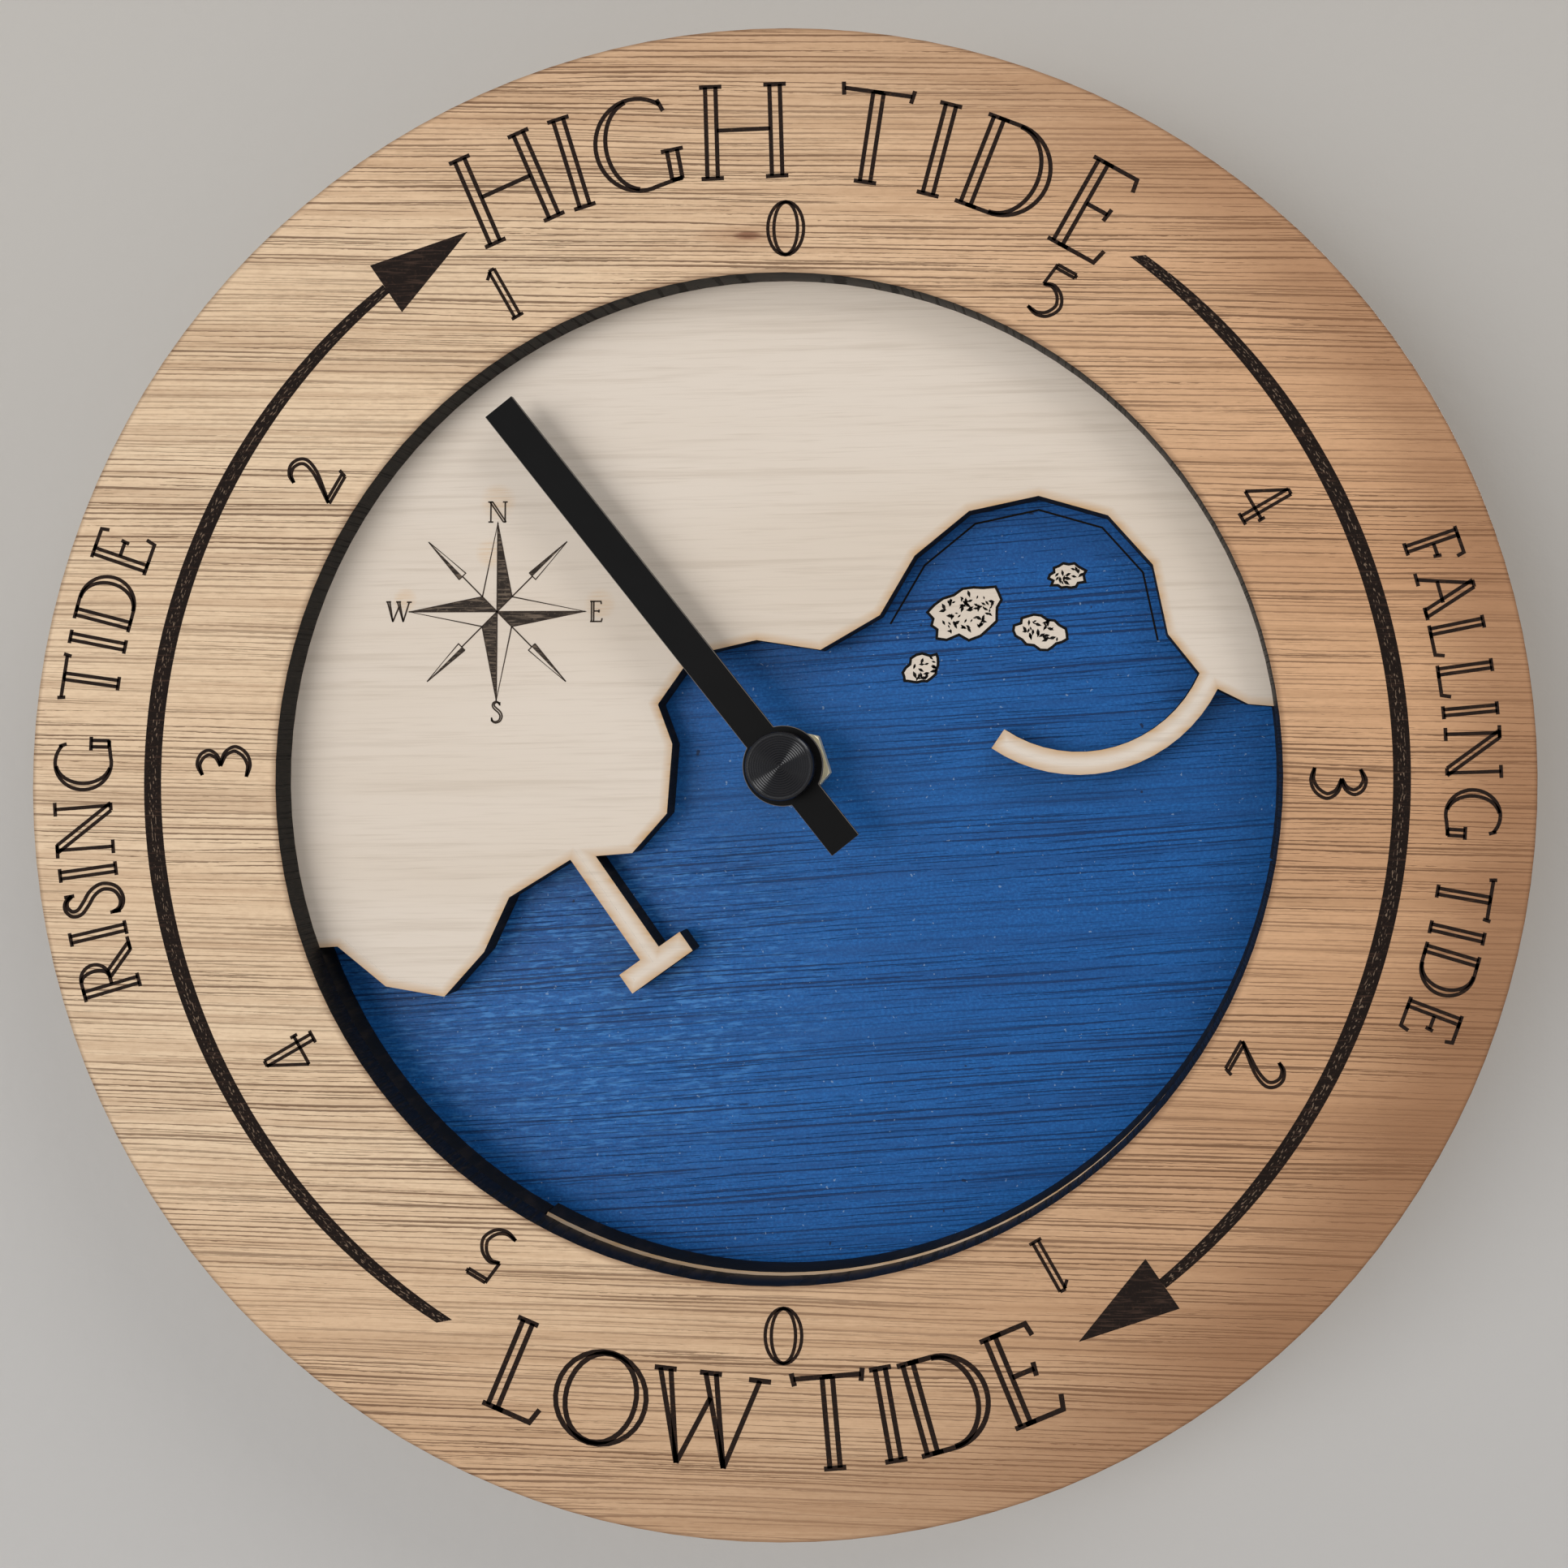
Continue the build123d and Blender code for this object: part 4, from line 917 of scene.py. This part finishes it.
def islets(wood, dark):
    """Bare islets with a burnt outline and burnt blotches, all but flush with the painted sea."""
    chance = random.Random(ISLET_SEED)
    bare, marks = Relief(SEA_FACE), Relief(SEA_FACE, ISLET_MARK_HEIGHT)
    full_turn = 2 * math.pi
    for islet in ISLETS:
        outline = [
            islet_point(islet, full_turn * corner / ISLET_CORNERS, chance.uniform(*ISLET_EDGE))
            for corner in range(ISLET_CORNERS)
        ]
        bare.patch(outline)
        marks.line(outline, ISLET_LINE, True)
        wide, high = islet[2:4]
        for _ in range(round(wide * high * BLOTCH_DENSITY)):
            around, share = chance.uniform(0, full_turn), math.sqrt(chance.random())
            x, y = islet_point(islet, around, BLOTCH_SPREAD * share)
            size, turn = chance.uniform(*BLOTCH_SIZE), chance.uniform(0, math.pi)
            marks.patch([
                (x + size * reach * math.cos(turn + step), y + size * reach * math.sin(turn + step))
                for step, reach in zip(BLOTCH_TURNS, BLOTCH_REACHES)
            ])
    bare.make("islet_wood", wood, "pale_wood")
    marks.make("islet_marks", dark, "pale_wood")


# Raised marks on the rear cover

def from_dial(x, z):
    """A place in metres, in millimetres from the dial's centre."""
    return ((x - DIAL_X) / MM, (z - DIAL_Z) / MM)


def rear_marks(material):
    """Signs of the cell's poles and an arrow beside the setting knob."""
    relief = Relief(REAR_FACE, SIGN_HEIGHT, 1)
    cell_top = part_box("battery_cell")[1].z
    for contact in ("positive_contact", "negative_contact"):
        low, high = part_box(contact)
        x, z = from_dial((low.x + high.x) / 2, cell_top)
        x, z = x * (1 - SIGN_INSET), z + SIGN_RISE
        relief.line([(x - SIGN_REACH, z), (x + SIGN_REACH, z)], SIGN_LINE)
        if contact == "positive_contact":
            for way in (1, -1):
                relief.line([(x, z + way * SIGN_LINE / 2), (x, z + way * SIGN_REACH)], SIGN_LINE)
    low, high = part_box("setting_knob")
    centre = Vector(from_dial((low.x + high.x) / 2, (low.z + high.z) / 2))
    radius = (high.x - low.x) / 2 / MM + ARROW_CLEARANCE
    clocks = [ARROW_START + (ARROW_END - ARROW_START) * k / ARROW_STEPS for k in range(ARROW_STEPS + 1)]
    relief.line([centre + polar(radius, clock) for clock in clocks], SIGN_LINE)
    wings = [centre + polar(radius + out, ARROW_END) for out in (-ARROW_HEAD_HALF, ARROW_HEAD_HALF)]
    relief.patch([*wings, centre + polar(radius, ARROW_END + ARROW_HEAD_TURN)])
    relief.make("rear_marks", material, "white_plastic")


# Shore line and burnt margins, along the cut edges of a flat layer

def front_loops(node):
    """The edge lines of a layer's front face, in millimetres from the dial's centre, wood on their left."""
    copy = bmesh.new()
    copy.from_mesh(nodes[node].data)
    bmesh.ops.remove_doubles(copy, verts=copy.verts, dist=WELD_DISTANCE)
    copy.normal_update()
    following = {}
    for face in copy.faces:
        if face.normal.y > FRONT_NORMAL:
            continue
        for loop in face.loops:
            others = [other for other in loop.edge.link_faces if other is not face]
            if all(other.normal.y > FRONT_NORMAL for other in others):
                following[loop.vert.index] = loop.link_loop_next.vert.index
    copy.verts.ensure_lookup_table()
    loops = []
    while following:
        chain, vertex = [], next(iter(following))
        while vertex in following:
            place = copy.verts[vertex].co
            chain.append(from_dial(place.x, place.z))
            vertex = following.pop(vertex)
        loops.append(chain)
    copy.free()
    return loops


def shore_line(material):
    """A line scored in the sea beside the bay's shore."""
    chain = max(front_loops("land_panel"), key=len)
    points = [
        scored for (x, z), scored in zip(chain, beside(chain, -SHORE_OFFSET, True))
        if x > BAY_LEFT and z > BAY_LOW and math.hypot(x, z) < BAY_REACH
    ]
    relief = Relief(SEA_FACE)
    relief.line(points, SHORE_LINE)
    relief.make("shore_line", material, "blue_wood")


def burnt_margin(name, node, width, inside, material):
    """A thin strip along each edge of a layer's front, burnt at the edge and less so inside."""
    relief = Relief(LAND_FACE, MARGIN_HEIGHT)
    scorch = relief.mesh.verts.layers.float.new("scorch")
    for chain in front_loops(node):
        for ring in relief.strip(chain, beside(chain, width, True), True):
            for vertex, share in zip(ring, (1.0, inside, inside, 1.0)):
                vertex[scorch] = share
    relief.make(name, material, "pale_wood")


# Turned cap

def lathe(name, profile, front, material, body):
    """A closed form turned around the hand's axis from (radius, depth behind the front), in millimetres."""
    builder = bmesh.new()
    turns = [2 * math.pi * k / LATHE_STEPS for k in range(LATHE_STEPS)]
    rings = []
    for radius, depth in profile:
        ring = [(radius * MM * math.cos(turn), radius * MM * math.sin(turn)) for turn in turns]
        if radius == 0:
            ring = [(0, 0)]
        rings.append([builder.verts.new((HAND_X + x, front + depth * MM, HAND_Z + z)) for x, z in ring])
    for one, other in zip(rings, rings[1:]):
        for k in range(LATHE_STEPS):
            following = (k + 1) % LATHE_STEPS
            corners = [one[k % len(one)], one[following % len(one)]]
            corners += [other[following % len(other)], other[k % len(other)]]
            builder.faces.new(list(dict.fromkeys(corners)))
    made = make_object(name, builder, material, body)
    for polygon in made.data.polygons:
        polygon.use_smooth = True
    made.data.set_sharp_from_angle(angle=math.radians(SHARP_ANGLE))
    return made


def turned_cap(material):
    """The cap over the hub: a chamfered edge and fine rings cut in its slightly hollow face."""
    radius = (cap_high.x - cap_low.x) / 2 / MM
    back = (cap_high.y - cap_low.y) / MM
    inset, set_back = CAP_CHAMFER_MIDDLE
    profile = [
        (0, back), (radius - CAP_BACK_BREAK, back), (radius, back - CAP_BACK_BREAK), (radius, CAP_CHAMFER),
        (radius - inset, set_back), (radius - CAP_CHAMFER, 0),
    ]
    face = radius - CAP_BORDER
    pitch = face / CAP_GROOVES
    for groove in range(CAP_GROOVES):
        outer = face - groove * pitch
        dish = CAP_DISH * (1 - (outer / face) ** 2)
        profile += [(outer, dish), (outer - pitch / 2, dish + CAP_GROOVE_DEPTH)]
    profile.append((0, CAP_MIDDLE_DEPTH))
    made = lathe("turned_cap", profile, cap_low.y, material, "hand")
    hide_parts("hand_cap")


# Dressing

def dress(material, *names):
    for name in names:
        for material_slot in nodes[name].material_slots:
            material_slot.material = material


def soften(width, *names):
    """Breaks the sharp edges of solid pieces."""
    for name in names:
        weld = nodes[name].modifiers.new("weld", "WELD")
        weld.merge_threshold = WELD_DISTANCE
        bevel = nodes[name].modifiers.new("bevel", "BEVEL")
        bevel.width = width * MM
        bevel.segments = 2
        bevel.limit_method = "ANGLE"
        bevel.angle_limit = math.radians(BEVEL_ANGLE)


# Inks: darkest and lightest colour, how much of the grain shows, and strength of the dashes
ink = engraving("burnt_line", (0.02, 0.012, 0.009), (0.075, 0.036, 0.018), 0.58)
band_ink = engraving("burnt_band", (0.014, 0.0088, 0.0068), (0.058, 0.032, 0.022), 0.54, 0.52)
arrow_ink = engraving("burnt_arrow", (0.016, 0.0105, 0.0085), (0.062, 0.036, 0.026), 0.48)
char_ink = engraving("burnt_blotch", (0.008, 0.007, 0.006), (0.03, 0.02, 0.014), 0.6)
shade_ink = engraving("burnt_shade", (0.035, 0.027, 0.022), (0.2, 0.15, 0.11), 0.46)
pale_ink = engraving("burnt_thin_line", (0.05, 0.036, 0.028), (0.14, 0.1, 0.07), 0.6)

# Finishes: two colours, range of roughness, metallic, grain per metre, relief in millimetres, specular
FINISHES = {
    "black_plastic": ((0.014, 0.014, 0.015), (0.02, 0.02, 0.021), (0.42, 0.6), 0.0, 2200, 0.03, 0.5),
    "cap_black": ((0.005, 0.005, 0.007), (0.008, 0.008, 0.01), (0.18, 0.25), 0.0, 3000, 0.004, 0.4),
    "steel": ((0.62, 0.62, 0.61), (0.5, 0.5, 0.49), (0.28, 0.42), 1.0, 1800, 0.006, 0.5),
    "rubber": ((0.02, 0.02, 0.02), (0.03, 0.03, 0.029), (0.75, 0.9), 0.0, 1800, 0.03, 0.3),
    "white_plastic": ((0.72, 0.71, 0.67), (0.64, 0.63, 0.58), (0.35, 0.5), 0.0, 2000, 0.01, 0.5),
    "magnet": ((0.1, 0.1, 0.105), (0.15, 0.15, 0.15), (0.35, 0.5), 1.0, 1600, 0.01, 0.5),
    "copper": ((0.75, 0.33, 0.16), (0.6, 0.24, 0.1), (0.25, 0.4), 1.0, 4000, 0.02, 0.5),
    "board": ((0.03, 0.16, 0.07), (0.02, 0.11, 0.05), (0.35, 0.5), 0.0, 1500, 0.01, 0.5),
    "floor_paint": ((0.62, 0.6, 0.58), (0.58, 0.56, 0.54), (0.7, 0.8), 0.0, 300, 0.1, 0.3),
}
finishes = {name: plain_finish(name, *values) for name, values in FINISHES.items()}
pale = pale_wood()
brass = turned_metal("brass", (0.97, 0.89, 0.65), (0.9, 0.78, 0.51), (0.24, 0.38), 5, 0.5)
# The second colour is the pale edge colour: partly bare metal, partly a painted highlight
black_metal = metal_paint_with_edge_highlight("black_metal", (0.005, 0.0048, 0.0047), (0.21, 0.185, 0.16))

dress(veneer_wood(), "bezel_ring")
dress(pale, "land_panel", "rim_spacer")
dress(blue_wood(), "sea_panel")
dress(black_metal, "tide_hand", "hand_bush")
dress(brass, "brass_nut", "brass_washer", "threaded_bush")
dress(finishes["steel"], "hanger_plate", "positive_contact", "negative_contact", "stator_plate", "coil_core",
      "quartz_crystal", "clutch_spring")
dress(finishes["rubber"], "rubber_washer")
dress(finishes["black_plastic"], "front_housing", "rear_cover", "timing_chip")
dress(finishes["white_plastic"], "hand_wheel", "clutch_pinion", "clutch_wheel", "third_wheel",
      "second_wheel", "first_wheel", "rotor_pinion", "coil_bobbin", "setting_knob")
dress(finishes["magnet"], "rotor_magnet")
dress(finishes["copper"], "coil_winding")
dress(finishes["board"], "circuit_board")
dress(printed_wrap(), "battery_cell")
soften(LAYER_BREAK, "bezel_ring", "land_panel", "rim_spacer", "sea_panel", "hanger_plate", "brass_nut")
soften(HAND_BREAK, "tide_hand")
soften(HOUSING_BREAK, "front_housing", "rear_cover")

dial_lettering(ink)
for band in BANDS:
    direction_band(*band, band_ink, arrow_ink)
compass_rose(shade_ink, pale_ink)
islets(pale, char_ink)
rear_marks(finishes["white_plastic"])
shore_line(char_ink)
for margin, sizes in MARGINS.items():
    burnt_margin(margin, *sizes, pale)
turned_cap(finishes["cap_black"])


# Stage, light and camera

def flat_stage(name, corners, material):
    mesh = bpy.data.meshes.new(name)
    mesh.from_pydata(corners, [], [tuple(range(len(corners)))])
    mesh.materials.append(material)
    made = bpy.data.objects.new(name, mesh)
    bpy.context.collection.objects.link(made)
    return made


def wall_paint():
    """Pale paint, made lighter towards the bottom by painted light, that shows on the room's side only."""
    graph = Graph("wall_paint")
    roll = graph.speckle(220, 3, 0.5)
    broad = graph.speckle(3, 2, 0.5)
    colour = graph.mix(graph.steps(broad, 0.3, 0.7), (0.545, 0.517, 0.479), (0.525, 0.494, 0.456))
    # Painted light: the wall grows lighter and greyer towards the bottom, a gradient of light rather than of
    # paint
    lower = graph.steps(graph.axis("Z"), DIAL_Z + 0.12, DIAL_Z - 0.16)
    colour = graph.mix(lower, colour, (0.582, 0.563, 0.54))
    graph.finish(colour, 0.85, roll, 0.15, specular=0.2)
    output = graph.tree.nodes["Material Output"]
    mixer = graph.node("ShaderNodeMixShader")
    graph.feed(mixer.inputs[0], graph.node("ShaderNodeNewGeometry").outputs["Backfacing"])
    graph.feed(mixer.inputs[1], graph.shader.outputs[0])
    graph.feed(mixer.inputs[2], graph.node("ShaderNodeBsdfTransparent").outputs[0])
    graph.feed(output.inputs["Surface"], mixer.outputs[0])
    return graph.material


def lamp(name, offset, size, power):
    """A round lamp that faces the middle of the ring's face."""
    data = bpy.data.lights.new(name, "AREA")
    data.shape = "DISK"
    data.size = size
    data.energy = power
    made = bpy.data.objects.new(name, data)
    made.location = FACE_CENTRE + Vector(offset)
    made.rotation_euler = (-Vector(offset)).to_track_quat("-Z", "Y").to_euler()
    bpy.context.collection.objects.link(made)


FACE_CENTRE = Vector((DIAL_X, RING_FACE, DIAL_Z))
SIDES = (-STAGE_REACH, STAGE_REACH)
wall = flat_stage("wall", [
    *((x, WALL_Y, FLOOR_Z) for x in SIDES), *((x, WALL_Y, STAGE_REACH) for x in reversed(SIDES)),
], wall_paint())
for kind in ("visible_diffuse", "visible_glossy", "visible_shadow", "visible_transmission"):
    setattr(wall, kind, False)
flat_stage("floor", [
    *((x, -STAGE_REACH, FLOOR_Z) for x in SIDES), *((x, STAGE_REACH, FLOOR_Z) for x in reversed(SIDES)),
], finishes["floor_paint"])
for name, values in LAMPS.items():
    lamp(name, *values)

world = bpy.data.worlds.new("studio")
bpy.context.scene.world = world
world.use_nodes = True
background = world.node_tree.nodes["Background"]
background.inputs["Color"].default_value = SKY
background.inputs["Strength"].default_value = SKY_STRENGTH

camera_data = bpy.data.cameras.new("camera")
camera_data.lens = CAMERA_LENS
camera_data.sensor_width = CAMERA_SENSOR
camera_data.shift_x, camera_data.shift_y = CAMERA_SHIFT
camera_data.clip_start = CAMERA_NEAR * MM
camera = bpy.data.objects.new("camera", camera_data)
camera.location = FACE_CENTRE + Vector((CAMERA_RIGHT, -CAMERA_DISTANCE, CAMERA_ABOVE)) * MM
camera.rotation_euler = (math.radians(90 + CAMERA_PITCH), 0, math.radians(CAMERA_YAW))
bpy.context.collection.objects.link(camera)
bpy.context.scene.camera = camera
bpy.context.scene.view_settings.view_transform = "Standard"
